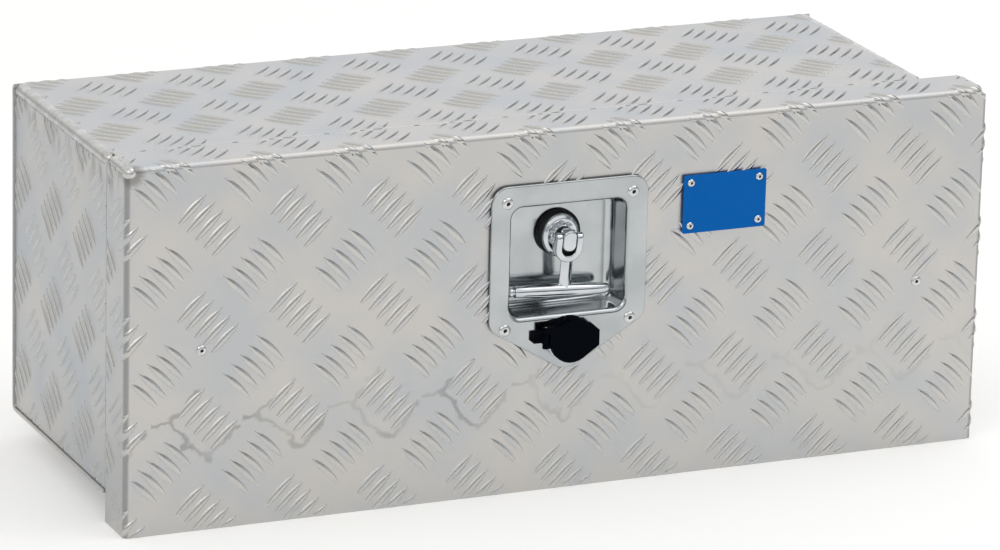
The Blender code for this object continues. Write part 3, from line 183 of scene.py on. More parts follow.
# %% A recipe for bare metal
def metal(name, tone, other_tone, roughness, spread, cloud_mm, grain_mm, grain_height_mm):
    """Bare metal with clouded colour, uneven roughness and a grain sized along x, y, z."""
    material, tree = new_material(name)
    coordinates = add(tree, "TexCoord").outputs["Object"]
    cloud = add(tree, "TexNoise", {
        "Vector": coordinates, "Scale": 1 / (cloud_mm * MM), "Detail": 4.0, "Roughness": 0.5})
    share = add(tree, "MapRange", {"Value": cloud, "From Min": 0.36, "From Max": 0.64})
    colour = add(tree, "Mix", {
        "Factor": share, TONE: hex_colour(tone), OTHER_TONE: hex_colour(other_tone)},
        data_type="RGBA")
    rough = add(tree, "MapRange", {
        "Value": share, "To Min": roughness - spread, "To Max": roughness + spread})
    grain_scale = add(tree, "Mapping", {
        "Vector": coordinates, "Scale": [1 / (size * MM) for size in grain_mm]})
    grain = add(tree, "TexNoise", {
        "Vector": grain_scale, "Scale": 1.0, "Detail": 3.0, "Roughness": 0.6})
    bump = add(tree, "Bump", {
        "Height": grain, "Distance": grain_height_mm * MM, "Strength": 1.0})
    shader = add(tree, "BsdfPrincipled", {
        "Base Color": colour, "Metallic": 1.0, "Roughness": rough, "Normal": bump})
    add(tree, "OutputMaterial", [shader])
    return material


# %% [markdown]
# Each metal of the box then takes one call. Its two tones are close together. Clouds and grain
# are given in millimetres, and a grain too fine for the picture is drawn as coarse as it needs
# to be to show.

# %% The metals of the box
# Mill-finish tread plate, EN AW-5754, hot rolled between a plain and an engraved roll: a soft
# grey sheen, warm and cool clouds from the rolling oil, and faint hair lines along x.
mill_plate = metal(
    "mill_finish_tread_plate", "#CBC8C4", "#C4C6C8", 0.40, 0.04, 55, (26, 1.6, 1.6), 0.010)
# The raised bars: the same alloy, pressed smoother by the roll and rubbed bright in handling.
rolled_bars = metal("rolled_bar_tops", "#C8C6C2", "#C2C3C3", 0.26, 0.04, 14, (9, 2.2, 2.2), 0.012)
# Folded plain sheet of the same alloy, inside: duller, without the pattern.
plain_sheet = metal(
    "plain_aluminium_sheet", "#BFC0C0", "#B2B4B6", 0.42, 0.06, 30, (20, 1.5, 1.5), 0.02)
# Weld metal, laid with a torch and brushed: bright, lumpy, slightly uneven in tone.
weld_metal = metal("brushed_weld_metal", "#D6D5D2", "#C4C3C1", 0.30, 0.06, 9, (2.4, 2.4, 2.4), 0.10)
# Stainless steel, AISI 304, deep drawn and polished: clear reflections with fine upright marks.
pressed_stainless = metal(
    "polished_stainless", "#BABEBF", "#AFB3B5", 0.15, 0.04, 26, (1.6, 1.6, 26), 0.004)
# Chromium plate on die-cast zinc or steel: mirror-like, faintly blue, hardly any texture.
chrome_plate = metal("chrome_plate", "#D3D6D9", "#C8CCD0", 0.07, 0.02, 12, (4, 4, 4), 0.002)
# Zinc-plated mild steel of pins, cam and nuts: greyer and less clear than chrome.
zinc_steel = metal("zinc_plated_steel", "#B4B8BC", "#A3A7AA", 0.28, 0.06, 9, (2, 2, 2), 0.02)
# Aluminium blind rivets: pressed heads, soft and slightly satin.
rivet_metal = metal("rivet_aluminium", "#D6D7D7", "#C9CACC", 0.24, 0.05, 3, (0.9, 0.9, 0.9), 0.02)
print("metals:", len(bpy.data.materials), "materials so far")

# %% [markdown]
# Marks of making and use lie on the plate. Where rain water dried on the door it left a grey tide
# mark: a thin line that runs round the bars of one row, because the water clung to them, and from
# each group on to the next. Nodes draw a line by distance: they work out how far a point lies
# from it, and tint the metal where that is next to nothing. A noise that is added to the place
# first makes the line wander. The ring is a blunt square that stands on its corner, like the
# group of bars inside it, and stays open on the side that dried first.

# %% Tide mark
def over_colour(material, share, tone):
    """Mix one more tone over a material's colour, by a share between 0 and 1."""
    tree = material.node_tree
    colour = tree.nodes["Principled BSDF"].inputs["Base Color"]
    mixed = add(tree, "Mix", {
        "Factor": share, TONE: colour.links[0].from_socket, OTHER_TONE: hex_colour(tone)},
        data_type="RGBA")
    tree.links.new(mixed.outputs[2], colour)


pitch_across, pitch_up = 65.4, 67.9
half_pitch = pitch_across / 2 * MM
tide_start = place(60.0, 0.0, 77.4)
tide_sway, tide_ring, tide_blunt = 20 * MM, 19.5 * MM, 9 * MM
dry_from, dry_to, dry_gap = 11 * MM, 18 * MM, 4 * MM
aslant = math.sqrt(0.5)  # the bars stand at 45 degrees

plate = mill_plate.node_tree
plate_place = add(plate, "TexCoord").outputs["Object"]
on_plate = dict(zip("xyz", add(plate, "SeparateXYZ", [plate_place]).outputs))
noise = add(plate, "TexNoise", {
    "Vector": plate_place, "Scale": 1 / (18 * MM), "Detail": 3.0, "Roughness": 0.6})
wander = add(plate, "SeparateXYZ", [noise.outputs["Color"]])
add_rows(plate, on_plate, (
    ("sway x", "Math MULTIPLY", wander.outputs["X"], tide_sway),
    ("even x", "Math SUBTRACT", "x", tide_start.x + tide_sway / 2),
    ("uneven x", "Math ADD", "even x", "sway x"),
    ("across", "Math WRAP", "uneven x", half_pitch, -half_pitch),
    ("sway z", "Math MULTIPLY", wander.outputs["Y"], tide_sway),
    ("even z", "Math SUBTRACT", "z", tide_start.z + tide_sway / 2),
    ("up", "Math ADD", "even z", "sway z"),
    ("sum", "Math ADD", "across", "up"),
    ("along bars", "Math MULTIPLY", "sum", aslant),
    ("difference", "Math SUBTRACT", "across", "up"),
    ("across bars", "Math MULTIPLY", "difference", aslant),
    ("far along", "Math ABSOLUTE", "along bars"),
    ("far across", "Math ABSOLUTE", "across bars"),
    ("from group", "Math SMOOTH_MAX", "far along", "far across", tide_blunt),
    ("dry side", "MapRange", "along bars", dry_from, dry_to, 0.0, dry_gap),
    ("past ring", "Math SUBTRACT", "from group", tide_ring),
    ("off ring", "Math ABSOLUTE", "past ring"),
    ("to ring", "Math ADD", "dry side", "off ring"),
    ("off link", "Math ABSOLUTE", "up"),
    ("inside ring", "Math LESS_THAN", "from group", tide_ring),
    ("to link", "Math ADD", "off link", "inside ring"),
    ("to line", "Math MINIMUM", "to ring", "to link")))
print("plate tree has", len(plate.nodes), "nodes with the distance to the line")

# %% [markdown]
# The line itself is patchy, and it fades from the left of the door to its middle. It lies on the
# front face alone.

# %% Patchy line
line_core, line_edge = 0.3 * MM, 2.6 * MM
on_plate["line"] = add(plate, "MapRange", {
    "Value": on_plate["to line"], "From Min": line_edge, "From Max": line_core},
    interpolation_type="SMOOTHSTEP")
on_plate["patches"] = add(plate, "TexNoise", {
    "Vector": plate_place, "Scale": 1 / (30 * MM), "Detail": 1.0})
add_rows(plate, on_plate, (
    ("patch", "MapRange", "patches", 0.40, 0.58, 0.18, 0.44),
    ("fade", "MapRange", "x", -80 * MM, 40 * MM, 1.0, 0.25),
    ("patchy line", "Math MULTIPLY", "line", "patch"),
    ("on front", "Math LESS_THAN", "y", door_front + 0.5 * MM),
    ("front fade", "Math MULTIPLY", "fade", "on front"),
    ("tide", "Math MULTIPLY", "patchy line", "front fade")))
over_colour(mill_plate, on_plate["tide"], "#716E6A")
print("plate tree has", len(plate.nodes), "nodes with its tide mark")

# %% [markdown]
# Where the torch passed, heat left brown streaks on the left end of the box, just under the
# weld. They go by height, broken up by a noise that is stretched upright.

# %% Heat streaks
streak_scale = add(plate, "Mapping", {
    "Vector": plate_place, "Scale": [1 / (size * MM) for size in (9, 9, 26)]})
on_plate["noise"] = add(plate, "TexNoise", {
    "Vector": streak_scale, "Scale": 1.0, "Detail": 3.0})
add_rows(plate, on_plate, (
    ("streaks", "MapRange", "noise", 0.50, 0.66),
    ("near weld", "MapRange", "z", 226 * MM, 250 * MM),
    ("on left end", "Math LESS_THAN", "x", -313 * MM),
    ("high streaks", "Math MULTIPLY", "streaks", "near weld"),
    ("left streaks", "Math MULTIPLY", "high streaks", "on left end"),
    ("heat", "Math MULTIPLY", "left streaks", 0.6)))
over_colour(mill_plate, on_plate["heat"], "#7D7466")
print("plate tree has", len(plate.nodes), "nodes with its heat streaks")

# %% [markdown]
# The press brake stretches the outer skin of a fold, which turns it rough like orange peel and
# blurs its highlight. The upright folds are darkened with a grey painted shade. A point lies on
# a fold where its face looks along none of the three axes.

# %% Folds
facing = add(plate, "TexCoord").outputs["Normal"]
for axis, way in zip("xyz", add(plate, "SeparateXYZ", [facing]).outputs):
    on_plate["facing " + axis] = add(plate, "Math", [way], operation="ABSOLUTE")
add_rows(plate, on_plate, (
    ("level", "Math MAXIMUM", "facing x", "facing y"),
    ("flatness", "Math MAXIMUM", "level", "facing z"),
    ("upright fold", "Math MULTIPLY", "facing x", "facing y"),
    ("folded", "MapRange", "flatness", 0.99, 0.90),
    ("film", "MapRange", "upright fold", 0.10, 0.42, 0.0, 0.55)))
plate_roughness = plate.nodes["Principled BSDF"].inputs["Roughness"]
fold_roughness = 0.48
roughness_here = add(plate, "MapRange", {
    "Value": on_plate["folded"], "To Min": plate_roughness.links[0].from_socket,
    "To Max": fold_roughness})
plate.links.new(roughness_here.outputs["Result"], plate_roughness)
# Painted shade: the upright folds are tinted grey.
over_colour(mill_plate, on_plate["film"], "#7B7B79")
print("a fold's roughness is", fold_roughness)

# %% [markdown]
# Round the drop at the door's front left corner the plate is darkened with painted shade, and the
# welds have a thin dark edge where they meet the side sheet: partly soot, partly painted shade.
# One goes by distance, the other by height.

# %% Painted shade and soot by the welds
drop_x, drop_down = 5.2, 4.0
drop_spot = place(drop_x, 0.0, in_mm("door_panel")[1].z - bar_height - drop_down)
drop_distance = add(plate, "VectorMath", [plate_place, drop_spot], operation="DISTANCE")
# Painted shade round the weld drop, darkest next to it.
drop_painted_shade = add(plate, "MapRange", {
    "Value": drop_distance, "From Min": 6.0 * MM, "From Max": 11.0 * MM,
    "To Min": 0.6, "To Max": 0.0})
over_colour(mill_plate, drop_painted_shade, "#6F6D69")

# Thin dark lower edge of the welds: partly soot, partly painted shade where the bead meets the side
# sheet.
weld_tree = weld_metal.node_tree
weld_place = add(weld_tree, "TexCoord").outputs["Object"]
on_weld = {"z": add(weld_tree, "SeparateXYZ", [weld_place]).outputs["Z"],
           "noise": add(weld_tree, "TexNoise", {"Vector": weld_place, "Scale": 1 / (6 * MM)})}
add_rows(weld_tree, on_weld, (
    ("sway", "Math MULTIPLY", "noise", 5 * MM),
    ("height", "Math SUBTRACT", "z", "sway"),
    ("edge soot", "MapRange", "height", 249.2 * MM, 247.6 * MM, 0.0, 0.75)))
over_colour(weld_metal, on_weld["edge soot"], "#5E5B55")
print("plate tree has", len(plate.nodes), "nodes")

# %% [markdown]
# ## Rubber, plastic and paint
#
# The other finishes are not metal, so their colour comes from the body of the material and the
# gloss lies on top of it. Rubber is nearly black and dull with a fine pitted skin. The moulded
# key cover is blacker still. The name plate is aluminium sheet under a coat of blue lacquer, a
# saturated colour with a soft gloss.

# %% Rubber, plastic and lacquer
def coated(name, tone, other_tone, roughness, bump_mm, bump_height_mm, specular):
    """A plastic, rubber or lacquer: two close tones, a fine skin and as much gloss as specular."""
    material, tree = new_material(name)
    coordinates = add(tree, "TexCoord").outputs["Object"]
    skin = add(tree, "TexNoise", {
        "Vector": coordinates, "Scale": 1 / (bump_mm * MM), "Detail": 3.0})
    patch = add(tree, "TexNoise", {
        "Vector": coordinates, "Scale": 1 / (9 * bump_mm * MM), "Detail": 4.0})
    colour = add(tree, "Mix", {
        "Factor": patch, TONE: hex_colour(tone), OTHER_TONE: hex_colour(other_tone)},
        data_type="RGBA")
    rough = add(tree, "MapRange", {
        "Value": patch, "From Min": 0.3, "From Max": 0.7,
        "To Min": roughness * 0.85, "To Max": roughness * 1.15})
    bump = add(tree, "Bump", {
        "Height": skin, "Distance": bump_height_mm * MM, "Strength": 1.0})
    shader = add(tree, "BsdfPrincipled", {
        "Base Color": colour, "Roughness": rough, "Normal": bump,
        "Specular IOR Level": specular})
    add(tree, "OutputMaterial", [shader])
    return material


# EPDM rubber, extruded or moulded: dull black with a pitted skin.
black_rubber = coated("epdm_rubber", "#0A0B0D", "#121315", 0.55, 0.5, 0.02, specular=0.3)
# Polyamide, injection moulded and spark-eroded to a dull skin: black, with hardly any sheen.
black_plastic = coated(
    "dull_black_polyamide", "#04070D", "#060910", 0.60, 0.35, 0.01, specular=0.02)
# Phosphated steel, the broken stem inside a blind rivet and the spindle end: nearly black and
# rough. Its near-black is partly painted shade, in the rivet holes and in the fork's slot.
dark_steel_and_shade = coated("phosphated_steel_and_painted_shade", "#17181A", "#1E1F21", 0.60, 0.3, 0.02, specular=0.3)
# Stoving lacquer on aluminium sheet: strong blue with a soft gloss.
blue_lacquer = coated(
    "blue_stoving_lacquer", "#005FAF", "#0062B5", 0.38, 0.8, 0.006, specular=0.08)
print("finishes:", [material.name for material in (black_rubber, black_plastic, blue_lacquer)])

# %% [markdown]
# ## Dressing the measured parts
#
# Parts whose shape is already right keep their mesh and only get their finish. Each CAD node
# names a material slot, and the first finish of that slot is the one for measured parts. The
# others are for finer pieces.

# %% Finishes of each slot
finishes_of_slot = {
    "checker_plate": [mill_plate, rolled_bars],
    "plain_aluminium": [plain_sheet],
    "weld_metal": [weld_metal],
    "polished_steel": [zinc_steel, pressed_stainless, dark_steel_and_shade],
    "chrome": [chrome_plate],
    "black_rubber": [black_rubber, black_plastic],
    "blue_enamel": [blue_lacquer],
    "rivet_alloy": [rivet_metal],
}
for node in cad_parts.values():
    for material_slot in node.material_slots:
        finish = finishes_of_slot[material_slot.material.name][0]
        material_slot.link = "OBJECT"
        material_slot.material = finish
print(len(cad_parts), "nodes dressed")

# %% [markdown]
# Parts that show from a step away get a finer piece in their place. Two helpers do the common
# work. The first puts a mesh into the scene, on its body and in its slot. The second smooths a
# mesh but keeps its folds crisp, by marking every edge sharper than an angle.

# %% Put a piece on its body
crisp_angle = math.radians(32)


def smooth(mesh, angle=crisp_angle):
    """Shade smooth, with edges sharper than the angle kept crisp."""
    mesh.shade_smooth()
    mesh.set_sharp_from_angle(angle=angle)


def add_piece(name, mesh, body, finish, replaced=()):
    """A finished piece: it rides on a body, takes a slot and may stand in for CAD nodes."""
    piece = bpy.data.objects.new(name, mesh)
    bpy.context.scene.collection.objects.link(piece)
    mesh.materials.clear()
    mesh.materials.append(finish)
    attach(piece, body)
    if replaced:
        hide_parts(*replaced)
    return piece


def soften(piece, width_mm, segments=2, angle=crisp_angle):
    """Round the piece's sharp edges with a live Bevel."""
    bevel = piece.modifiers.new("edge_round", "BEVEL")
    bevel.width = width_mm * MM
    bevel.segments = segments
    bevel.limit_method = "ANGLE"
    bevel.angle_limit = angle
    bevel.miter_outer = "MITER_ARC"


def keep_flats_flat(piece):
    """Let large faces decide the shading next to narrow bends, so that flat sheet looks flat."""
    weighted = piece.modifiers.new("flat_faces_lead", "WEIGHTED_NORMAL")
    weighted.weight = 100
    weighted.keep_sharp = True


def merge_flat(work):
    """Merge doubled corners and join the triangles of each flat face."""
    bmesh.ops.remove_doubles(work, verts=work.verts, dist=0.00001)
    bmesh.ops.dissolve_limit(
        work, angle_limit=math.radians(0.5), verts=work.verts, edges=work.edges)


def cad_copy(node):
    """A CAD node's mesh as its own clean bmesh."""
    work = bmesh.new()
    work.from_mesh(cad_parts[node].data)
    merge_flat(work)
    return work


def to_mesh(work, name):
    """Turn a bmesh into a mesh and free it."""
    mesh = bpy.data.meshes.new(name)
    work.to_mesh(mesh)
    work.free()
    return mesh


# %% [markdown]
# ## The sheets
#
# The measured sheets already carry the raised bars as plain pyramids with few faces. The finer
# bars that follow need a bare sheet, so each sheet is copied and pressed flat: every corner that
# stands out past the sheet's face goes back onto it, and the flat faces are joined again. The
# rear face has no bars in the frame. Its bare sheet lies one bar height further in, moved
# together with its bend, so that the bend keeps its radius.

# %% Bare sheets
door_fold, wrap_fold = 4.0, 5.0
wrap_low, wrap_high = in_mm("body_wrap")
door_box_high = in_mm("door_panel")[1]
door_left, door_right = bar_height, door_box_high.x - bar_height
door_top, door_deep = door_box_high.z - bar_height, door_box_high.y
top_face = wrap_high.z - bar_height
rear_face = wrap_high.y - bar_height
bottom_face, mouth, wrap_right = wrap_low.z, wrap_low.y, wrap_high.x
slack = 0.05


def press(work, axis, limit, sign):
    """Put corners that stand out past a face, in door millimetres, back onto it."""
    zero = (door_low.x, door_front, 0)[axis]
    for vert in work.verts:
        if sign * ((vert.co[axis] - zero) / MM - limit) > 0:
            vert.co[axis] = zero + limit * MM


def sink(work, axis, limit, by):
    """Move all corners past a limit by the same way, in door millimetres."""
    zero = (door_low.x, door_front, 0)[axis]
    for vert in work.verts:
        if (vert.co[axis] - zero) / MM > limit:
            vert.co[axis] += by * MM


def bare_sheet(node, name, body, faces, rear_limit=None):
    """Replace a CAD sheet by one pressed flat on the given faces, its edges slightly round."""
    work = cad_copy(node)
    for axis, limit, sign in faces:
        press(work, axis, limit, sign)
    if rear_limit:
        sink(work, 1, rear_limit, -bar_height)
    merge_flat(work)
    piece = add_piece(name, to_mesh(work, name), body, mill_plate, [node])
    smooth(piece.data)
    soften(piece, 0.25, 1, math.radians(50))
    keep_flats_flat(piece)


bare_sheet("door_panel", "door_sheet", "door",
           [(0, door_left, -1), (0, door_right, 1), (1, 0.0, -1), (2, door_top, 1)])
bare_sheet("body_wrap", "wrap_sheet", "box", [(2, top_face, 1)], wrap_high.y - wrap_fold - slack)
end_faces = {"left": in_mm("end_plate_left")[0].x + bar_height,
             "right": in_mm("end_plate_right")[1].x - bar_height}
bare_sheet("end_plate_left", "end_sheet_left", "box", [(0, end_faces["left"], -1)])
bare_sheet("end_plate_right", "end_sheet_right", "box", [(0, end_faces["right"], 1)])
print("end faces at", {side: round(x, 1) for side, x in end_faces.items()})

# %% [markdown]
# ## The five-bar pattern
#
# The rolls press groups of five short bars into the sheet, in two directions that alternate
# like a chess board. Each bar is a slender lens: pointed at both ends, rounded on top. Because
# it repeats over a thousand times by one rule, Geometry Nodes is the right tool. A small grid
# is bent into one bar by formula, five bars are set on a line as a group, and the groups are
# set on two lattices half a pitch apart.

# %% Start and end of a Geometry Nodes tree
def new_tree(name, sizes):
    """A tree with named inputs and one geometry output; returns it and its inputs by name."""
    tree = bpy.data.node_groups.new(name, "GeometryNodeTree")
    tree.interface.new_socket("Shape", in_out="INPUT", socket_type="NodeSocketGeometry")
    for label, value in sizes.items():
        kind = {int: "Int", float: "Float", tuple: "Vector"}[type(value)]
        socket = tree.interface.new_socket(label, in_out="INPUT", socket_type="NodeSocket" + kind)
        socket.default_value = value
    tree.interface.new_socket("Finish", in_out="INPUT", socket_type="NodeSocketMaterial")
    tree.interface.new_socket("Result", in_out="OUTPUT", socket_type="NodeSocketGeometry")
    return tree, {socket.name: socket for socket in add(tree, "NodeGroupInput").outputs}


def finish_tree(tree, given, shape):
    """Make the instances real, give them their finish and hand them out."""
    real = add(tree, "GeometryNodeRealizeInstances", [shape])
    dressed = add(tree, "GeometryNodeSetMaterial", {
        "Geometry": real, "Material": given["Finish"]})
    add(tree, "NodeGroupOutput", [dressed])
    return tree


# %% [markdown]
# One bar starts as a square grid. Its x becomes the way along the bar and its y runs once round
# it. Along the bar everything swells from nothing at the points to full size in the middle.

# %% One bar
def add_bar(tree, value):
    """The nodes that bend one bar from a grid; value holds the tree's inputs by name."""
    blank = add(tree, "GeometryNodeMeshGrid", {
        "Size X": 1.0, "Size Y": 1.0, "Vertices X": 11, "Vertices Y": 9})
    spot = add(tree, "SeparateXYZ", [add(tree, "GeometryNodeInputPosition")])
    add_rows(tree, value, (
        ("along", "Math MULTIPLY", spot.outputs["X"], 2.0),
        ("squared", "Math MULTIPLY", "along", "along"),
        ("left", "Math SUBTRACT", 1.0, "squared"),
        ("swell", "Math MAXIMUM", "left", 0.0),
        ("around", "Math MULTIPLY", spot.outputs["Y"], 2 * math.pi),
        ("cosine", "Math COSINE", "around"),
        ("sine", "Math SINE", "around"),
        ("taper", "Math POWER", "swell", 0.85),
        ("half width", "Math MULTIPLY", "Bar width", 0.5),
        ("width here", "Math MULTIPLY", "taper", "half width"),
        ("side", "Math MULTIPLY", "cosine", "width here"),
        ("bow", "Math MULTIPLY", "swell", "Bar bow"),
        ("across", "Math ADD", "side", "bow"),
        ("size", "Math ABSOLUTE", "sine"),
        ("hump", "Math MULTIPLY", "sine", "size"),
        ("crown", "Math MAXIMUM", "hump", -0.3),
        ("slope", "Math POWER", "swell", 0.6),
        ("lift", "Math MULTIPLY", "crown", "slope"),
        ("rise", "Math MULTIPLY", "lift", "Bar height"),
        ("run", "Math MULTIPLY", spot.outputs["X"], "Bar length"),
        ("shape", "CombineXYZ", "run", "across", "rise")))
    bar = add(tree, "GeometryNodeSetPosition", {"Geometry": blank, "Position": value["shape"]})
    return add(tree, "GeometryNodeMergeByDistance", {"Geometry": bar, "Distance": 0.002})


# %% [markdown]
# Five such bars on a line are a group. The groups stand on two lattices that are turned
# opposite ways, and every size of the pattern is a named input of the tree.

# %% Geometry Nodes tree of the pattern
def five_bar_tree():
    """Flat five-bar pattern in millimetres, with named inputs for its sizes."""
    tree, value = new_tree("five_bar_pattern", {
        "Columns": 12, "Rows": 6, "Pitch across": pitch_across, "Pitch up": pitch_up,
        "Bar length": 30.0, "Bar width": 5.2, "Bar height": bar_height, "Bar spacing": 8.5,
        "Bar bow": 0.5, "Bar angle": math.radians(45),
        "Rising start": (0.0, 0.0, 0.0), "Falling start": (0.0, 0.0, 0.0)})
    bar = add_bar(tree, value)
    add_rows(tree, value, (
        ("half span", "Math MULTIPLY", "Bar spacing", -2.0),
        ("first", "CombineXYZ", 0.0, "half span"),
        ("step", "CombineXYZ", 0.0, "Bar spacing"),
        ("gaps across", "Math SUBTRACT", "Columns", 1.0),
        ("span across", "Math MULTIPLY", "Pitch across", "gaps across"),
        ("gaps up", "Math SUBTRACT", "Rows", 1.0),
        ("span up", "Math MULTIPLY", "Pitch up", "gaps up"),
        ("half across", "Math MULTIPLY", "span across", 0.5),
        ("half up", "Math MULTIPLY", "span up", 0.5),
        ("middle", "CombineXYZ", "half across", "half up")))
    line = add(tree, "GeometryNodeMeshLine", {
        "Count": 5, "Start Location": value["first"], "Offset": value["step"]})
    group = add(tree, "GeometryNodeInstanceOnPoints", {"Points": line, "Instance": bar})

    lattice = add(tree, "GeometryNodeMeshGrid", {
        "Size X": value["span across"], "Size Y": value["span up"],
        "Vertices X": value["Columns"], "Vertices Y": value["Rows"]})
    whole = add(tree, "GeometryNodeJoinGeometry")
    for start, turn in (("Rising start", 1.0), ("Falling start", -1.0)):
        add_rows(tree, value, (
            ("centre", "VectorMath ADD", "middle", start),
            ("angle", "Math MULTIPLY", "Bar angle", turn),
            ("spin", "CombineXYZ", 0.0, 0.0, "angle")))
        moved = add(tree, "GeometryNodeTransform", {
            "Geometry": lattice, "Translation": value["centre"]})
        placed = add(tree, "GeometryNodeInstanceOnPoints", {
            "Points": moved, "Instance": group, "Rotation": value["spin"]})
        tree.links.new(placed.outputs[0], whole.inputs[0])
    return finish_tree(tree, value, whole)


pattern_tree = five_bar_tree()
print("pattern tree has", len(pattern_tree.nodes), "nodes")

# %% [markdown]
# The tree is run once for each face. A modifier input is set by its socket's identifier, and
# the evaluated result is read as plain numbers: one row of corners for each bar.

# %% Run the tree
def run_tree(tree, settings, base=None):
    """Mesh that a Geometry Nodes tree makes on a scratch object with the given inputs."""
    base = base or bpy.data.meshes.new("scratch")
    scratch = bpy.data.objects.new("scratch", base)
    bpy.context.scene.collection.objects.link(scratch)
    modifier = scratch.modifiers.new("tree", "NODES")
    modifier.node_group = tree
    for socket in tree.interface.items_tree:
        if socket.in_out == "INPUT" and socket.name in settings:
            modifier[socket.identifier] = settings[socket.name]
    graph = bpy.context.evaluated_depsgraph_get()
    mesh = bpy.data.meshes.new_from_object(scratch.evaluated_get(graph), depsgraph=graph)
    bpy.data.objects.remove(scratch)
    bpy.data.meshes.remove(base)
    return mesh


def flat_bars(columns, rows, rising):
    """Corners (bar, corner, xyz) and one bar's faces; rising is the middle of one rising group."""
    groups_before = 2
    start = (rising[0] - groups_before * pitch_across, rising[1] - groups_before * pitch_up)
    mesh = run_tree(pattern_tree, {
        "Columns": columns, "Rows": rows, "Pitch across": pitch_across, "Pitch up": pitch_up,
        "Rising start": (*start, 0.0),
        "Falling start": (start[0] + pitch_across / 2, start[1] + pitch_up / 2, 0.0),
        "Finish": rolled_bars})
    corners = np.empty(len(mesh.vertices) * 3)
    mesh.vertices.foreach_get("co", corners)
    count = 2 * 5 * columns * rows  # two lattices of groups of five
    each = len(mesh.vertices) // count
    faces = [tuple(p.vertices) for p in mesh.polygons[:len(mesh.polygons) // count]]
    bpy.data.meshes.remove(mesh)
    return corners.reshape(count, each, 3), faces


trial, trial_faces = flat_bars(2, 1, (0, 0))
print("one bar:", trial.shape[1], "corners,", len(trial_faces), "faces")

# %% [markdown]
# ## From flat pattern to folded sheet
#
# The real plate is patterned flat, then cut, then folded, and the same order works here. The
# bars are cut off at the sheet's edges, where the shears also pressed them flat, then split
# along each bend so that they can follow it, and carried round the bend: a point past the
# start of a bend turns with it, and a point above the sheet turns on a slightly larger radius.

# %% Cut and fold
sheared = 3.0  # how far in from a cut edge the shears press the bars
bar_reach = 20.0


def slice_at(work, axis, at, sign=1, clear=False):
    """Split a bmesh by a plane square to an axis; clear takes away what lies past it."""
    normal, spot = Vector((0, 0, 0)), Vector((0, 0, 0))
    normal[axis], spot[axis] = sign, at
    bmesh.ops.bisect_plane(
        work, geom=work.verts[:] + work.edges[:] + work.faces[:], dist=0.0001,
        plane_co=spot, plane_no=normal, clear_outer=clear)


def cut_bars(bars, low, high, creases=(), keep=None):
    """Bars in a rectangle as a bmesh, closed where the edge cuts them, split along creases."""
    corners, faces = bars
    work = bmesh.new()
    for bar in corners:
        middle = bar.mean(axis=0)
        inside = all(low[i] - bar_reach < middle[i] < high[i] + bar_reach for i in (0, 1))
        if not inside or (keep and not keep(middle)):
            continue
        verts = [work.verts.new(corner) for corner in bar]
        for face in faces:
            work.faces.new([verts[i] for i in face])
    for axis in (0, 1):
        for limit, sign in ((low[axis], -1), (high[axis], 1)):
            slice_at(work, axis, limit, sign, clear=True)
            rim = [edge for edge in work.edges if edge.is_boundary]
            if rim:
                bmesh.ops.holes_fill(work, edges=rim)
    for axis, at in creases:
        slice_at(work, axis, at)
    for vert in work.verts:
        edge = min(min(vert.co[i] - low[i], high[i] - vert.co[i]) for i in (0, 1))
        vert.co.z *= min(max(edge / sheared, 0.0), 1.0) if vert.co.z > 0 else 1.0
    bmesh.ops.recalc_face_normals(work, faces=work.faces)
    return work


def bend(past, height, radius):
    """How far out and how far back a point lies that is this far past the start of a bend."""
    if past <= 0:
        return past, -height
    turn = min(past / radius, math.pi / 2)
    straight = max(past - radius * math.pi / 2, 0)
    grown_radius = radius + height
    return grown_radius * math.sin(turn), radius - grown_radius * math.cos(turn) + straight


def bend_creases(axis, start, radius, sign, steps=5):
    """Lines across a bend where the bars are split, so that they follow it."""
    return [(axis, start + sign * radius * math.pi / 2 * step / steps) for step in range(steps + 1)]


print("3 mm past a 5 mm bend lies", [round(v, 2) for v in bend(3.0, 0.0, 5.0)], "out and back")

# %% [markdown]
# Each strip of bars is folded by its own function, from the flat pattern's u, v and height to a
# place in door millimetres, and all strips of a body become one mesh.

# %% Join the strips
def join_work(parts, shape_of):
    """Fold each part by its own function and join all parts into one bmesh, in metres."""
    whole = bmesh.new()
    for work, shape in zip(parts, shape_of):
        table = {}
        for vert in work.verts:
            table[vert] = whole.verts.new(place(*shape(*vert.co)))
        for face in work.faces:
            whole.faces.new([table[vert] for vert in face.verts])
        work.free()
    bmesh.ops.recalc_face_normals(whole, faces=whole.faces)
    return whole


# %% [markdown]
# On the door the pattern runs from the left flange over the front to the right flange in one
# strip, and over the top bend onto the top flange in another. Bars that would lie behind the
# dish are left out, since the plate is cut away there.

# %% Bars of the door
front_left = door_left + door_fold
front_right = door_right - door_fold
front_top = door_top - door_fold
flange = door_fold * math.pi / 2 + door_deep - door_fold
door_notch = 4.9
dish_low, dish_high = in_mm("latch_dish")
flange_cover, point_cover = 12, 28  # how far the dish lies over the plate, and at its point


def clear_of_dish(middle):
    """True where the plate is there to carry a bar."""
    inside_x = dish_low.x + flange_cover < middle[0] < dish_high.x - flange_cover
    inside_z = dish_low.z + point_cover < middle[1] < dish_high.z - flange_cover
    return not (inside_x and inside_z)


door_bars = flat_bars(13, 7, (60.0, 9.5))


def fold_front(u, v, h):
    """Front and side flanges: x folds at both ends."""
    if u < (front_left + front_right) / 2:
        out, back = bend(front_left - u, h, door_fold)
        return front_left - out, back, v
    out, back = bend(u - front_right, h, door_fold)
    return front_right + out, back, v


def fold_top(u, v, h):
    """Top bend and top flange."""
    out, back = bend(v - front_top, h, door_fold)
    return u, back, front_top + out


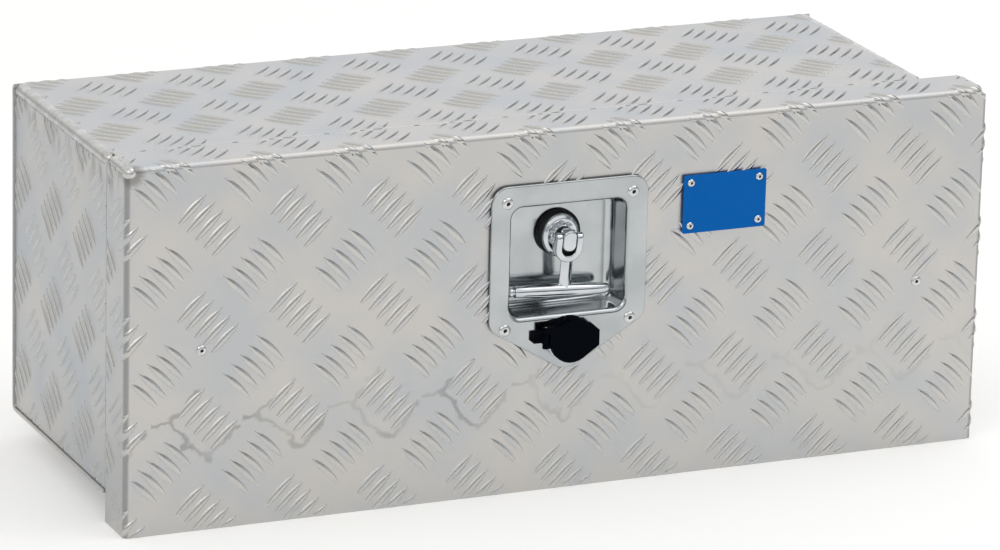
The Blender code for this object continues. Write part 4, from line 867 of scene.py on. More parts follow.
front_work = cut_bars(
    door_bars, (front_left - flange, 0.0), (front_right + flange, front_top),
    bend_creases(0, front_left, door_fold, -1) + bend_creases(0, front_right, door_fold, 1),
    clear_of_dish)
top_work = cut_bars(
    door_bars, (door_notch, front_top), (door_right - door_notch, front_top + flange),
    bend_creases(1, front_top, door_fold, 1))
door_bar_mesh = to_mesh(join_work([front_work, top_work], [fold_front, fold_top]), "door_bars")
smooth(door_bar_mesh, math.radians(60))
add_piece("door_bars", door_bar_mesh, "door", rolled_bars)
print("door bars:", len(door_bar_mesh.polygons), "faces")

# %% [markdown]
# The body is a wrap that runs over the top, down the rear and under the bottom in one sheet,
# and two flat end plates. The wrap's strip has two bends, so it is folded from both ends
# towards the middle of the rear face.

# %% Bars of the body
top_run = rear_face - wrap_fold
arc = wrap_fold * math.pi / 2
rear_run = top_face - bottom_face - 2 * wrap_fold
wrap_end = top_run + 2 * arc + rear_run + (rear_face - wrap_fold - mouth)
half_way = top_run + arc + rear_run / 2
pressed_reach, pressed_left = 8.0, 0.2  # from a rear fold's middle, and the height left there


def fold_wrap(u, v, h):
    """Top, rear and bottom of the wrap; the press brake left the bars on its upper rear fold low.
    """
    if v < half_way:
        from_fold = abs(v - top_run - arc / 2)
        kept = min(pressed_left + (1 - pressed_left) * from_fold / pressed_reach, 1.0)
        h *= kept if h > 0 else 1.0
        out, down = bend(v - top_run, h, wrap_fold)
        return u, top_run + out, top_face - down
    out, rise = bend(wrap_end - (rear_face - wrap_fold - mouth) - v, h, wrap_fold)
    return u, top_run + out, bottom_face + rise


wrap_bars = flat_bars(12, 12, (54.9, 52.0))
bead_room = 5.0
wrap_work = cut_bars(
    wrap_bars, (bead_room, mouth), (wrap_right - bead_room, wrap_end),
    bend_creases(1, top_run, wrap_fold, 1)
    + bend_creases(1, top_run + arc + rear_run, wrap_fold, 1))

end_bars = flat_bars(6, 6, (16.3, 51.0))
end_low, end_high = in_mm("end_plate_left")
end_works = [cut_bars(end_bars, (end_low.y, end_low.z), (end_high.y, end_high.z - bead_room / 2))
             for _ in end_faces]


def on_left_end(u, v, h):
    return end_faces["left"] - h, u, v


def on_right_end(u, v, h):
    return end_faces["right"] + h, u, v


body_bar_mesh = to_mesh(
    join_work([wrap_work, *end_works], [fold_wrap, on_left_end, on_right_end]), "body_bars")
smooth(body_bar_mesh, math.radians(60))
add_piece("body_bars", body_bar_mesh, "box", rolled_bars)
print("body bars:", len(body_bar_mesh.polygons), "faces")

# %% [markdown]
# ## Weld beads
#
# The corners of the body and of the door are closed by a weld. A bead is a rounded rope of metal
# with low ripples, laid drop by drop, and its ends are round. That is a path with a radius rule:
# Geometry Nodes draws a line, changes the radius along it by a sine and some noise, lets it close
# to a round end, and sweeps a circle along it.

# %% Geometry Nodes tree of a weld bead
def weld_bead_tree():
    """A rippled bead in millimetres along a straight line."""
    tree, value = new_tree("weld_bead", {
        "Start": (0.0, 0.0, 0.0), "End": (0.0, 100.0, 0.0), "Run": 100.0, "Radius": 5.0,
        "Ripple length": 3.2, "Ripple depth": 0.035, "Unevenness": 0.12})
    line = add(tree, "GeometryNodeCurvePrimitiveLine", {
        "Start": value["Start"], "End": value["End"]}, mode="POINTS")
    dots = add(tree, "GeometryNodeResampleCurve", {"Curve": line, "Length": 0.5}, mode="LENGTH")
    value["along"] = add(tree, "GeometryNodeSplineParameter").outputs["Length"]
    value["lumps"] = add(tree, "TexNoise", {
        "Vector": add(tree, "GeometryNodeInputPosition"), "Scale": 0.11, "Detail": 1.0})
    add_rows(tree, value, (
        # The ends close in a quarter circle.
        ("run left", "Math SUBTRACT", "Run", "along"),
        ("to end", "Math MINIMUM", "along", "run left"),
        ("radii", "Math DIVIDE", "to end", "Radius"),
        ("part", "Math MINIMUM", "radii", 1.0),
        ("rest", "Math SUBTRACT", 1.0, "part"),
        ("squared", "Math MULTIPLY", "rest", "rest"),
        ("left", "Math SUBTRACT", 1.0, "squared"),
        ("above zero", "Math MAXIMUM", "left", 0.01),
        ("round end", "Math SQRT", "above zero"),
        # Ripples where one drop of metal froze on the last.
        ("half turns", "Math MULTIPLY", "along", math.pi),
        ("phase", "Math DIVIDE", "half turns", "Ripple length"),
        ("sine", "Math SINE", "phase"),
        ("wave", "Math ABSOLUTE", "sine"),
        ("trough", "Math SUBTRACT", 1.0, "wave"),
        ("ripple", "Math MULTIPLY", "trough", "Ripple depth"),
        ("thin", "Math MULTIPLY", "lumps", "Unevenness"),
        ("loss", "Math ADD", "ripple", "thin"),
        ("size", "Math SUBTRACT", 1.0, "loss"),
        ("closed", "Math MULTIPLY", "size", "round end"),
        ("radius here", "Math MULTIPLY", "closed", "Radius")))
    circle = add(tree, "GeometryNodeCurvePrimitiveCircle", {"Resolution": 20, "Radius": 1.0})
    rope = add(tree, "GeometryNodeCurveToMesh", {
        "Curve": dots, "Profile Curve": circle, "Scale": value["radius here"],
        "Fill Caps": True})
    return finish_tree(tree, value, rope)


bead_tree = weld_bead_tree()
print("bead tree has", len(bead_tree.nodes), "nodes")

# %% [markdown]
# One bead lies along each side of the body's top and one along each side of the door's, in place
# of the measured ones. All run from front to rear, so each is given by its two depths.

# %% Lay the beads
def into_metres(mesh):
    """Carry a mesh from door millimetres to the frame's metres."""
    for vert in mesh.vertices:
        vert.co = place(*vert.co)
    return mesh


def weld_bead(node, body, x, z, radius, from_depth, to_depth, replaced=True):
    """A bead from front to rear, in place of the measured one where there is one."""
    mesh = run_tree(bead_tree, {
        "Start": (x, from_depth, z), "End": (x, to_depth, z), "Run": to_depth - from_depth,
        "Radius": radius, "Finish": weld_metal})
    mesh = into_metres(mesh)
    smooth(mesh, math.radians(60))
    add_piece(node + "_fine", mesh, body, weld_metal, [node] if replaced else ())


# How far a bead's middle lies in from the side and down from the top face, and its radius.
body_bead, door_bead = (5.6, 4.9, 5.6), (5.9, 4.5, 4.9)
door_bead_start, rear_overrun = 5.0, 3.0
for side, inward, body_side, door_side in (
    ("left", 1, 0.0, 0.0), ("right", -1, wrap_right, door_box_high.x),
):
    low, high = in_mm("weld_bead_" + side)
    inset, drop, radius = body_bead
    weld_bead("weld_bead_" + side, "box", body_side + inward * inset, top_face - drop, radius,
              low.y, high.y + rear_overrun)
    inset, drop, radius = door_bead
    weld_bead("door_corner_weld_" + side, "door", door_side + inward * inset, door_top - drop,
              radius, door_bead_start, door_deep)
# The torch stopped at the door's front left corner and left a drop.
weld_bead("door_corner_drop", "door", drop_x, door_top - drop_down, 5.1, -1.2, 8.8,
          replaced=False)

# %% [markdown]
# ## Round corners, skins and turned shapes
#
# The latch is pressed, turned and cast, so almost nothing on it has a sharp edge. A few helpers
# make such shapes from measured sizes: one replaces the corners of an outline by arcs, one draws
# a skin through a row of outlines like the planks of a boat, and one turns a profile round an
# axis like a lathe.

# %% Outlines
def corner_ways(corners):
    """For each corner: itself, the ways to the last and next one, and half the angle between."""
    for i, corner in enumerate(corners):
        corner = Vector(corner)
        to_last = (Vector(corners[i - 1]) - corner).normalized()
        to_next = (Vector(corners[(i + 1) % len(corners)]) - corner).normalized()
        yield corner, to_last, to_next, to_last.angle(to_next) / 2


def rounded(corners, radii, steps=6):
    """Outline with each corner replaced by an arc of as many points, whatever its size."""
    points = []
    for radius, (corner, to_last, to_next, half) in zip(radii, corner_ways(corners)):
        middle = corner + (to_last + to_next).normalized() * radius / math.sin(half)
        start = corner + to_last * radius / math.tan(half) - middle
        sweep = math.pi - 2 * half if to_last.cross(to_next) < 0 else 2 * half - math.pi
        for step in range(steps + 1):
            points.append(middle + Matrix.Rotation(sweep * step / steps, 2) @ start)
    return points


def grown(corners, radii, by):
    """The same outline moved outward by a distance; its corner radii grow with it."""
    moved = [corner - (to_last + to_next).normalized() * by / math.sin(half)
             for corner, to_last, to_next, half in corner_ways(corners)]
    return moved, [max(radius + by, 0.3) for radius in radii]


def rectangle(half_wide, half_high, radius, steps=5):
    """Rounded rectangle about zero."""
    corners = [(half_wide, half_high), (-half_wide, half_high),
               (-half_wide, -half_high), (half_wide, -half_high)]
    return rounded(corners, [radius] * 4, steps)


print("a rounded rectangle has", len(rectangle(4, 3, 1)), "points")

# %% [markdown]
# A cast or pressed wall is a stack of outlines with as many points each, so that the faces
# between two of them are plain four-sided ones. A lathe is the same thing with circles.

# %% Skins and turned shapes
def skin(work, loops, ring=False):
    """Faces between neighbouring loops of equal length; returns the rows of corners."""
    rows = [[work.verts.new(point) for point in loop] for loop in loops]
    for one, two in zip(rows, rows[1:] + (rows[:1] if ring else [])):
        for i in range(len(one)):
            j = (i + 1) % len(one)
            work.faces.new((one[i], one[j], two[j], two[i]))
    return rows


def loft(loops, ring=False):
    """Closed shape through loops in door millimetres: ends filled, or joined into a ring."""
    work = bmesh.new()
    rows = skin(work, loops, ring)
    if not ring:
        work.faces.new(rows[0])
        work.faces.new(rows[-1])
    bmesh.ops.recalc_face_normals(work, faces=work.faces)
    return work


def turned(profile, middle, axis="depth", ring=False, steps=48):
    """A lathe: profile is (radius, place along the axis) and middle is a point on the axis."""
    loops = []
    for radius, along in profile:
        loop = []
        for step in range(steps):
            angle = 2 * math.pi * step / steps
            across, over = radius * math.cos(angle), radius * math.sin(angle)
            loop.append((middle[0] + across, along, middle[2] + over) if axis == "depth"
                        else (along, middle[1] + across, middle[2] + over))
        loops.append(loop)
    return loft(loops, ring)


def joined(works, turn=None):
    """Several closed shapes in one bmesh, turned if asked, and carried to the frame's metres."""
    whole = bmesh.new()
    for work in works:
        mesh = to_mesh(work, "part")
        whole.from_mesh(mesh)
        bpy.data.meshes.remove(mesh)
    for vert in whole.verts:
        vert.co = place(*(turn @ vert.co if turn else vert.co))
    return whole


def latch_piece(name, works, body, finish, replaced=(), turn=None, angle=math.radians(40)):
    """Join shapes into one finished piece on a body."""
    mesh = to_mesh(joined(works, turn), name)
    smooth(mesh, angle)
    return add_piece(name, mesh, body, finish, replaced)


print("a turned disc has", len(turned([(1, 0), (1, 1)], (0, 0, 0)).faces), "faces")

# %% [markdown]
# ## The pressed dish
#
# The dish is one sheet of stainless steel, 1.7 mm thick, deep drawn in a press. Its flange is a
# square with a point below. The mouth rolls over softly into the walls, the walls lean a little
# so that the part leaves the die, and the floor meets them in another round. Each of these is a
# row of outlines that move inward and backward together.

# %% Dish
latch_x, spindle_z = 320.8, 179.0
dish_face, dish_back, dish_floor, dish_sheet = -3.2, -1.5, 18.8, 1.7
flange_corners = [(378.8, 220.6), (262.8, 220.6), (262.8, 119.5), (320.8, 85.2), (378.8, 119.5)]
flange_radii = [12, 12, 11, 16, 11]
mouth_corners = [(363.45, 204.4), (278.15, 204.4), (278.15, 126.7), (363.45, 126.7)]
mouth_radii = [8, 8, 8, 8]


def flange_loop(grow, depth):
    return [(p.x, depth, p.y) for p in rounded(*grown(flange_corners, flange_radii, grow))]


def mouth_loop(grow, depth):
    return [(p.x, depth, p.y) for p in rounded(*grown(mouth_corners, mouth_radii, grow), steps=8)]


def drawn_cup(thick):
    """Loops from the flange over the roll, down the wall and round to the floor."""
    roll, floor_round, lean = 3.6 - thick, 5.0 + thick, 1.6
    loops = [mouth_loop(roll + thick + 0.6, dish_face + thick)]
    for step in range(7):
        turn = math.pi / 2 * step / 6
        loops.append(mouth_loop(
            thick + roll * (1 - math.sin(turn)), dish_face + thick + roll * (1 - math.cos(turn))))
    for step in range(9):
        turn = math.pi / 2 * step / 8
        loops.append(mouth_loop(
            thick - lean - floor_round * (1 - math.cos(turn)),
            dish_floor + thick - floor_round * (1 - math.sin(turn))))
    loops.append(mouth_loop(-lean - 5.6, dish_floor + thick))
    return loops


dish_work = bmesh.new()
edge_rows = skin(dish_work, [
    flange_loop(0, dish_back), flange_loop(0, dish_face + 0.7), flange_loop(-0.2, dish_face + 0.2),
    flange_loop(-0.7, dish_face), flange_loop(-1.3, dish_face)])
front_rows = skin(dish_work, drawn_cup(0))
back_rows = skin(dish_work, drawn_cup(dish_sheet))
dish_work.faces.new(front_rows[-1])
dish_work.faces.new(back_rows[-1])
for outer, inner in ((edge_rows[-1], front_rows[0]), (edge_rows[0], back_rows[0])):
    rims = [dish_work.edges.get((row[i], row[i - 1]))
            for row in (outer, inner) for i in range(len(row))]
    bmesh.ops.triangle_fill(dish_work, edges=rims, use_beauty=True)
bmesh.ops.recalc_face_normals(dish_work, faces=dish_work.faces)
dish = latch_piece(
    "latch_dish_fine", [dish_work], "door", pressed_stainless, ["latch_dish"],
    angle=math.radians(50))
print("dish:", len(dish.data.polygons), "faces")

# %% [markdown]
# ## The hub
#
# The spindle comes through the dish floor in a rubber ring. On it lie a bevelled chrome washer,
# a toothed chrome collar and the flat tongue that the handle folds about. All but the tongue are
# turned parts. The collar is turned too, with a radius that swings in and out for its teeth.

# %% Hub parts
hub_middle = (latch_x, 0, spindle_z)
ring_profile = [(7.4, 18.5), (7.4, 13.1), (13.2, 13.1), (14.4, 13.6), (15.4, 14.4), (16.0, 15.2),
                (16.3, 16.2), (16.3, 17.7), (15.6, 18.5)]
latch_piece("hub_ring_fine", [turned(ring_profile, hub_middle, ring=True, steps=64)], "door",
            black_rubber, ["hub_ring"])
washer_profile = [(7.6, 13.3), (7.6, 10.2), (10.6, 10.0), (11.4, 10.2), (11.9, 10.7), (12.6, 11.0),
                  (13.2, 11.6), (13.5, 12.4), (13.5, 13.3)]


def oval(work, stretch, drop):
    """Stretch a turned shape upright about the spindle and lower it a little."""
    for vert in work.verts:
        vert.co.z = spindle_z + (vert.co.z - spindle_z) * stretch - drop
    return work


washer = oval(turned(washer_profile, hub_middle, ring=True, steps=64), 1.13, 1.0)
latch_piece("hub_washer_fine", [washer], "door", chrome_plate, ["hub_washer"])

teeth = 9


def toothed_loop(radius, depth, bite, steps=144):
    """Circle whose radius swings in and out once for each tooth."""
    loop = []
    for step in range(steps):
        angle = 2 * math.pi * step / steps
        out = radius + bite * min(max(1.8 * math.sin(teeth * angle), -1), 1)
        loop.append((latch_x + out * math.cos(angle), depth, spindle_z + out * math.sin(angle)))
    return loop


collar = loft([toothed_loop(*sizes) for sizes in (
    (8.9, 11.6, 0.9), (8.9, 7.7, 0.9), (8.7, 7.1, 0.9), (8.2, 6.8, 0.8), (6.9, 6.7, 0.0),
    (6.9, 11.6, 0.0))], ring=True)
latch_piece("hub_collar_fine", [collar], "door", chrome_plate, ["hub_nut"])

# %% [markdown]
# The tongue stands a little right of the middle and leans by three degrees, and the pin and the
# handle's fork lean with it. So this turn is worked out once, as a matrix about the pin.

# %% Tongue and spindle end
fork_x = latch_x + 1.1
pin_depth = 1.2
fork_middle = Vector((latch_x, pin_depth, spindle_z))
to_pin = Matrix.Translation(fork_middle)
handle_turn = math.radians(3)
turned_hub = to_pin @ Matrix.Rotation(handle_turn, 4, "Y") @ to_pin.inverted()


def tongue_loop(half_wide, half_high, depth, drop=1.2):
    return [(fork_x - 0.3 + p.x, depth, spindle_z - drop + p.y)
            for p in rectangle(half_wide, half_high, min(half_wide * 0.9, 4.0), 8)]


tongue = loft([tongue_loop(*sizes) for sizes in (
    (4.8, 6.4, 9.5, 0.3), (4.8, 7.3, -1.6), (4.7, 7.2, -2.4), (4.4, 6.9, -3.0),
    (4.0, 6.4, -3.3), (3.4, 5.8, -3.4))])
latch_piece("latch_hub_fine", [tongue], "door", chrome_plate, ["latch_hub"], turned_hub)
# Behind the tongue the spindle and its stop show in the fork's slot, near black: painted shade for
# the shade in the slot.
spindle = turned([(6.9, 20.5), (6.9, 6.4), (6.3, 5.7), (5.0, 5.5)], hub_middle)
stop = loft([[(fork_x + p.x, depth, spindle_z - 9.5 + p.y) for p in rectangle(6.2, 4.6, 1.2, 3)]
             for depth in (8.4, 5.6)])
latch_piece("latch_spindle_end_painted_shade", [spindle, stop], "door", dark_steel_and_shade)

# %% [markdown]
# ## The folding T handle
#
# The handle is a die casting with a chrome skin. A fork with round eyes holds it on the tongue's
# cross pin. Below the fork a square stem runs edge forward, so that its two front faces catch
# light and shade, and dies into a cross bar that tapers to both ends. The handle is drawn
# straight and then leaned: sunk back about its pin and turned a little with it, as in the
# photograph, while the stem itself stays upright.

# %% Fork of the handle
handle_sink = math.radians(7)
leaned = turned_hub @ to_pin @ Matrix.Rotation(handle_sink, 4, "X") @ to_pin.inverted()
prong_middle, prong_half, eye = 7.6, 2.3, 4.0
fork_low = spindle_z - 6.7


def fork_loop(x, z, inward, half_deep, half_wide=prong_half):
    """Section of the fork, square to its run; inward points to the middle of the fork."""
    section = rectangle(half_wide, half_deep, min(1.0, 0.9 * half_wide, 0.9 * half_deep), 3)
    return [(x + p.x * inward[0], pin_depth + p.y, z + p.x * inward[1]) for p in section]


def eye_loops(side):
    """Top of one prong: a half round about the pin, from its top down to the pin's height."""
    loops = []
    for turn in (82, 72, 60, 46, 30, 14, 0):
        up = eye * math.sin(math.radians(turn))
        half_deep = max(eye * math.cos(math.radians(turn)), 0.5)
        half_wide = prong_half - (0.35 if turn > 80 else 0.0)
        loops.append(fork_loop(
            fork_x - side * prong_middle, spindle_z + up, (side, 0), half_deep, half_wide))
    return loops


fork_loops = eye_loops(1)
for step in range(17):
    angle = math.pi * (1 + step / 16)
    outward = (math.cos(angle), math.sin(angle))
    fork_loops.append(fork_loop(
        fork_x + prong_middle * outward[0], fork_low + prong_middle * outward[1],
        (-outward[0], -outward[1]), eye))
fork_loops += reversed(eye_loops(-1))
fork = loft(fork_loops)
print("the fork has", len(fork.faces), "faces")

# %% [markdown]
# The stem runs from the fork's bow down to the cross bar. Bar and pin are turned on a lathe that
# lies level, and the bar has a small knob at its left end.

# %% Stem, cross bar and pin
def stem_loop(z, wide, deep):
    corners = [(0, -deep), (wide, 0), (0, deep), (-wide, 0)]
    middle = fork_x + (spindle_z - z) * math.tan(handle_turn)
    return [(middle + p.x, pin_depth + p.y, z) for p in rounded(corners, [0.6] * 4, 3)]


stem = loft([stem_loop(*sizes) for sizes in (
    (165.5, 4.9, 3.8), (160.0, 4.8, 3.8), (150.0, 4.9, 3.9), (143.5, 5.3, 4.0),
    (140.5, 6.0, 4.0))])
bar_x, bar_z = latch_x - 1.4, 140.5
bar_profile = [(0.9, -37.7), (2.2, -37.6), (3.1, -37.0), (3.4, -36.0), (3.2, -34.6), (2.5, -34.0),
               (2.5, -33.6), (3.5, -33.2), (4.0, -32.4), (4.3, -26), (4.75, -14), (4.9, -2),
               (4.8, 10), (4.4, 22), (3.8, 33), (3.3, 36.0), (2.5, 37.3), (1.2, 37.7)]
bar = turned([(radius, bar_x + along) for radius, along in bar_profile], (0, pin_depth, bar_z),
             axis="x", steps=32)
latch_piece("t_handle_fine", [fork, stem, bar], "handle", chrome_plate, ["t_handle"], leaned)
pin_profile = [(0.7, -10.1), (1.5, -9.9), (1.95, -9.4), (2.0, -8.6), (2.0, 8.6), (1.95, 9.4),
               (1.5, 9.9), (0.7, 10.1)]
pin = turned([(radius, fork_x + along) for radius, along in pin_profile], fork_middle,
             axis="x", steps=24)
latch_piece("handle_pin_fine", [pin], "door", zinc_steel, ["handle_pin"], turned_hub)
print("handle is sunk by", round(math.degrees(handle_sink)), "degrees")

# %% [markdown]
# ## Lock and key cover
#
# A chrome bezel rings the key hole. The black cover that swings in front of it is a shallow cap:
# besides its lid it has a skirt that reaches back over the bezel's rim at the top and right. The
# foot of its hinge carries on as a short arc wall at the top left, fixed to the dish.

# %% Key cover
lock_z = 109.2
for node, body, finish, width in (
    ("lock_bezel", "door", chrome_plate, 0.7),
    ("key_cover", "cover", black_plastic, 0.5),
    ("cover_hinge", "door", black_plastic, 0.3),
    ("name_plate", "door", blue_lacquer, 0.2),
):
    name = node + "_fine"
    piece = add_piece(name, to_mesh(cad_copy(node), name), body, finish, [node])
    smooth(piece.data)
    soften(piece, width)


def skirt(from_degrees, to_degrees, section, steps):
    """Arc wall round the lock; section is a list of (radius, depth)."""
    loops = []
    for step in range(steps + 1):
        angle = math.radians(from_degrees + (to_degrees - from_degrees) * step / steps)
        loops.append([(latch_x + radius * math.cos(angle), depth, lock_z + radius * math.sin(angle))
                      for radius, depth in section])
    return loft(loops)


cover_skirt = skirt(
    -24, 98, [(14.6, -11.4), (15.5, -11.2), (16.5, -9.8), (16.6, -4.0), (16.1, -4.0),
              (16.0, -8.3), (14.6, -8.4)], 26)
latch_piece("key_cover_skirt", [cover_skirt], "cover", black_plastic)
hinge_wall = skirt(
    101, 160, [(15.95, -12.0), (16.3, -12.1), (16.6, -11.6), (16.6, -3.6), (15.95, -3.6)], 14)
latch_piece("cover_hinge_wall", [hinge_wall], "door", black_plastic)

# %% [markdown]
# ## Blind rivets
#
# A blind rivet has a domed head with a hole, where its steel stem snapped off. The head is turned
# once. Geometry Nodes then sets it on the four corners of a rectangle, for the dish and for the
# name plate, and does the same with the small dark stem in the hole.

# %% Geometry Nodes tree of four corners
def four_corners_tree():
    """Copies of the incoming shape on the corners of an upright rectangle."""
    tree, given = new_tree(
        "four_corners", {"Across": 90.0, "Up": 90.0, "Middle": (0.0, 0.0, 0.0)})
    corners = add(tree, "GeometryNodeMeshGrid", {
        "Size X": given["Across"], "Size Y": given["Up"], "Vertices X": 2, "Vertices Y": 2})
    stand = add(tree, "GeometryNodeTransform", {
        "Geometry": corners, "Rotation": (math.pi / 2, 0.0, 0.0)})
    moved = add(tree, "GeometryNodeTransform", {
        "Geometry": stand, "Translation": given["Middle"]})
    copies = add(tree, "GeometryNodeInstanceOnPoints", {
        "Points": moved, "Instance": given["Shape"]})
    return finish_tree(tree, given, copies)


corner_tree = four_corners_tree()
print("corner tree has", len(corner_tree.nodes), "nodes")

# %% [markdown]
# Head and stem are drawn by shares of one radius and one height, so the same two profiles serve
# the large rivets of the dish, the small ones of the name plate and the two of the door stays.

# %% Rivets
def head_shape(radius, height):
    """A rivet head with its hole, face at minus height, back at zero."""
    return turned([(out * radius, -up * height) for out, up in (
        (0.30, 0.0), (0.30, 0.72), (0.38, 0.97), (0.52, 1.0), (0.74, 0.86), (0.90, 0.55),
        (1.0, 0.25), (1.0, 0.0))], (0, 0, 0), ring=True, steps=32)


def stem_shape(radius, height):
    """The broken stem, well below the head's face."""
    return turned([(0.30 * radius, 0.0), (0.30 * radius, -0.30 * height), (0.1, -0.36 * height)],
                  (0, 0, 0), steps=16)


# The stems take near-black steel, partly painted shade in the rivet holes.
rivet_parts = (("head", head_shape, rivet_metal), ("stem", stem_shape, dark_steel_and_shade))
rivet_groups = {  # radius, height, across, up and middle of each group of four
    "dish": (4.2, 1.6, 93.2, 90.0, (latch_x, dish_face, 164.0)),
    "plate": (2.7, 1.3, 51.6, 30.6, (436.9, -2.6, 195.3)),
}
for name, (radius, height, across, up, middle) in rivet_groups.items():
    nodes = [f"{name}_rivet_{corner}"
             for corner in ("upper_left", "upper_right", "lower_left", "lower_right")]
    for part, shape, finish in rivet_parts:
        mesh = into_metres(run_tree(
            corner_tree, {"Across": across, "Up": up, "Middle": middle, "Finish": finish},
            to_mesh(shape(radius, height), "one")))
        smooth(mesh)
        add_piece(f"{name}_rivet_{part}s", mesh, "door", finish, nodes if part == "head" else ())
stay_rivet = (3.6, 1.3)
for side, middle in (("left", (55.5, -0.1, 127.0)), ("right", (589.1, -0.1, 121.6))):
    for part, shape, finish in rivet_parts:
        work = shape(*stay_rivet)
        bmesh.ops.translate(work, verts=work.verts, vec=middle)
        latch_piece(f"stay_rivet_{side}_{part}", [work], "door", finish,
                    ["stay_rivet_" + side] if part == "head" else ())
print("rivet groups:", list(rivet_groups))

# %% [markdown]
# ## Light and floor
#
# Metal has hardly any colour of its own. It shows the room, so the room is drawn with care: a
# white back wall, a dark wall behind the camera with bright windows above it, a grey left wall
# that brightens upwards, and a right wall with one dark band across it. Only the rays that metal
# sends out see this room. The camera itself sees plain white, and matte surfaces get one even
# level of light.

# %% Room
world = bpy.data.worlds.new("studio_room")
bpy.context.scene.world = world
world.use_nodes = True
room = world.node_tree
room.nodes.clear()
direction = add(room, "SeparateXYZ", [add(room, "TexCoord").outputs["Generated"]])


def wall(stops):
    """Brightness by the height of a direction; stops are (sine of the height, sRGB hex)."""
    ramp = add(room, "ValToRGB", [direction.outputs["Z"]])
    ramp.color_ramp.interpolation = "EASE"
    for number, (at, tone) in enumerate(stops):
        if number < 2:
            stop = ramp.color_ramp.elements[number]
            stop.position = at
        else:
            stop = ramp.color_ramp.elements.new(at)
        stop.color = hex_colour(tone)
    return ramp


front_wall = wall([(0.0, "#43474D"), (0.14, "#363A40"), (0.30, "#D8DADC"), (0.50, "#FFFFFF"),
                   (0.90, "#FFFFFF"), (1.0, "#FFFFFF")])
back_wall = wall([(0.0, "#EEF1F7"), (0.9, "#FFFFFF")])
left_wall = wall([(0.0, "#A9ACAE"), (0.22, "#C2C0BB"), (0.34, "#EFEDE9"), (0.45, "#FFFFFF"),
                  (0.72, "#FFFFFF"), (0.82, "#E4E1DA"), (1.0, "#E6E3DC")])
right_wall = wall([(0.0, "#DCDEE0"), (0.24, "#CDCFD1"), (0.31, "#B8BBBE"), (0.40, "#7C7F84"),
                   (0.50, "#84878B"), (0.64, "#FFFFFF")])


def towards(axis, start, end, below, beyond):
    """Blend from one wall to the next by a direction's part along an axis."""
    share = add(room, "MapRange", {
        "Value": direction.outputs[axis], "From Min": start, "From Max": end},
        interpolation_type="SMOOTHSTEP")
    return add(room, "Mix", {"Factor": share, TONE: below, OTHER_TONE: beyond},
               data_type="RGBA")


def rays(tree):
    """1 for rays from shiny or clear surfaces, and 1 for those and the camera's own."""
    path = add(tree, "LightPath").outputs
    mirrored = add(tree, "Math", [path["Is Glossy Ray"], path["Is Transmission Ray"]],
                   operation="MAXIMUM")
    return mirrored, add(tree, "Math", [path["Is Camera Ray"], mirrored], operation="MAXIMUM")


walls = towards("X", 0.15, -0.35, towards("Y", 0.0, -0.25, back_wall, front_wall), left_wall)
walls = towards("X", 0.50, 0.70, walls, right_wall)
mirrored, seen = rays(room)
tone_seen = add(room, "Mix", {
    "Factor": mirrored, TONE: hex_colour("#FFFFFF"), OTHER_TONE: walls}, data_type="RGBA")
fill_level = 0.80
strength = add(room, "Mix", {"Factor": seen, "A": fill_level, "B": 1.0}, data_type="FLOAT")
add(room, "OutputWorld", [add(room, "Background", {"Color": tone_seen, "Strength": strength})])
print("room tree has", len(room.nodes), "nodes")

# %% [markdown]
# Three large soft boxes give the room a direction. The key stands to the left in front and high
# up, so that the bars that rise to the right catch it along their upper side. One hangs overhead
# for the top, and a weak one behind gives the rear edges a little light. Large and dim is better
# than small and strong here: a strong lamp burns white spots into every raised bar.

# %% Lamps
box_middle = Vector((0, 0, 0.13))


def soft_lamp(name, spot, size, power):
    """A square soft box that points at the middle of the box; size in metres, power in watts."""
    lamp = bpy.data.lights.new(name, "AREA")
    lamp.shape = "SQUARE"
    lamp.size = size
    lamp.energy = power
    holder = bpy.data.objects.new(name, lamp)
    holder.location = spot
    holder.rotation_euler = (box_middle - Vector(spot)).to_track_quat("-Z", "Y").to_euler()
    bpy.context.scene.collection.objects.link(holder)


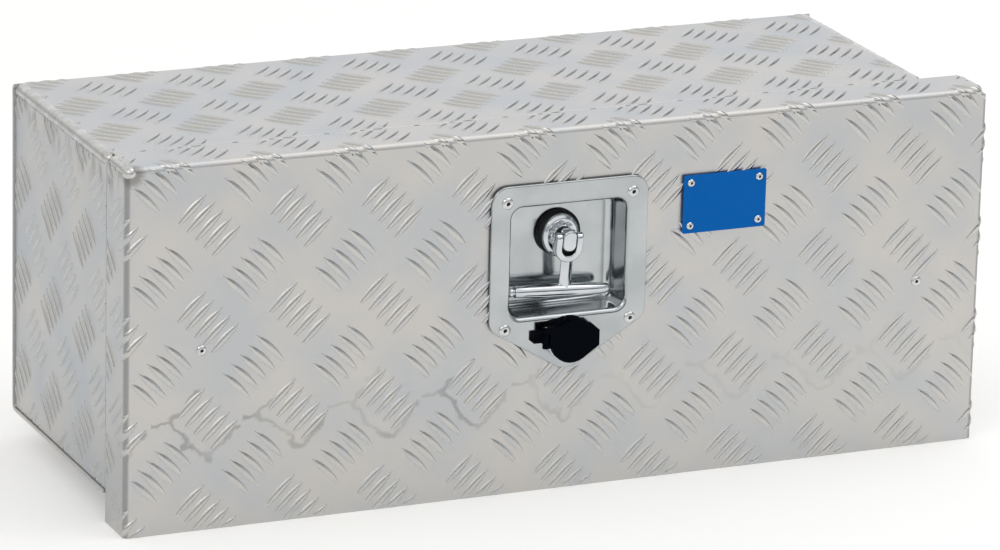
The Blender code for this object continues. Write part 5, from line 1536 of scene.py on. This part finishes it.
soft_lamp("key_softbox", (-1.25, -1.05, 1.50), 0.7, 3.0)
soft_lamp("overhead_softbox", (0.80, -0.35, 1.95), 1.6, 7.0)
soft_lamp("rear_softbox", (1.15, 2.1, 0.95), 1.6, 0.8)
print("lamps:", [lamp.name for lamp in bpy.data.lights])

# %% [markdown]
# The floor is matte and nearly white, with a faint cloud so that it is not a dead flat colour.
# A little glow for the camera and for mirrored rays lifts it to the white of the background
# and still keeps the shadow. Left of the box the floor is painted dimmer and cooler for
# mirrored rays alone: a painted shade that the left end of the box mirrors.

# %% Floor
floor_material, floor_tree = new_material("pale_floor")
floor_mirrored, floor_seen = rays(floor_tree)
floor_place = add(floor_tree, "TexCoord").outputs["Object"]
floor_cloud = add(floor_tree, "TexNoise", {"Vector": floor_place, "Scale": 2.0})
floor_tone = add(floor_tree, "Mix", {
    "Factor": floor_cloud, TONE: hex_colour("#F6F5F3"), OTHER_TONE: hex_colour("#F2F2F0")},
    data_type="RGBA")
glow = 0.20
on_floor = {"mirrored": floor_mirrored, "seen": floor_seen,
            "x": add(floor_tree, "SeparateXYZ", [floor_place]).outputs["X"]}
# Painted shade on the floor left of the box, seen by mirrored rays only.
add_rows(floor_tree, on_floor, (
    ("dim side", "MapRange", "x", door_low.x + 0.02, door_low.x - 0.04, 0.0, 0.65),
    ("dimmed", "Math MULTIPLY", "mirrored", "dim side"),
    ("lit", "Math SUBTRACT", "seen", "dimmed"),
    ("level", "Math MULTIPLY", "lit", glow)))
floor_tone = add(floor_tree, "Mix", {
    "Factor": on_floor["dimmed"], TONE: floor_tone, OTHER_TONE: hex_colour("#EFF2F5")},
    data_type="RGBA")
floor_matte = add(floor_tree, "BsdfDiffuse", [floor_tone])
floor_glow = add(floor_tree, "Emission", {"Strength": on_floor["level"]})
add(floor_tree, "OutputMaterial", [add(floor_tree, "AddShader", [floor_matte, floor_glow])])
reach = 30.0
floor_mesh = bpy.data.meshes.new("floor")
floor_mesh.from_pydata(
    [(-reach, -reach, 0), (reach, -reach, 0), (reach, reach, 0), (-reach, reach, 0)],
    [], [(0, 1, 2, 3)])
floor_mesh.materials.append(floor_material)
floor = bpy.data.objects.new("floor", floor_mesh)
bpy.context.scene.collection.objects.link(floor)
print("floor reaches", reach, "m each way")
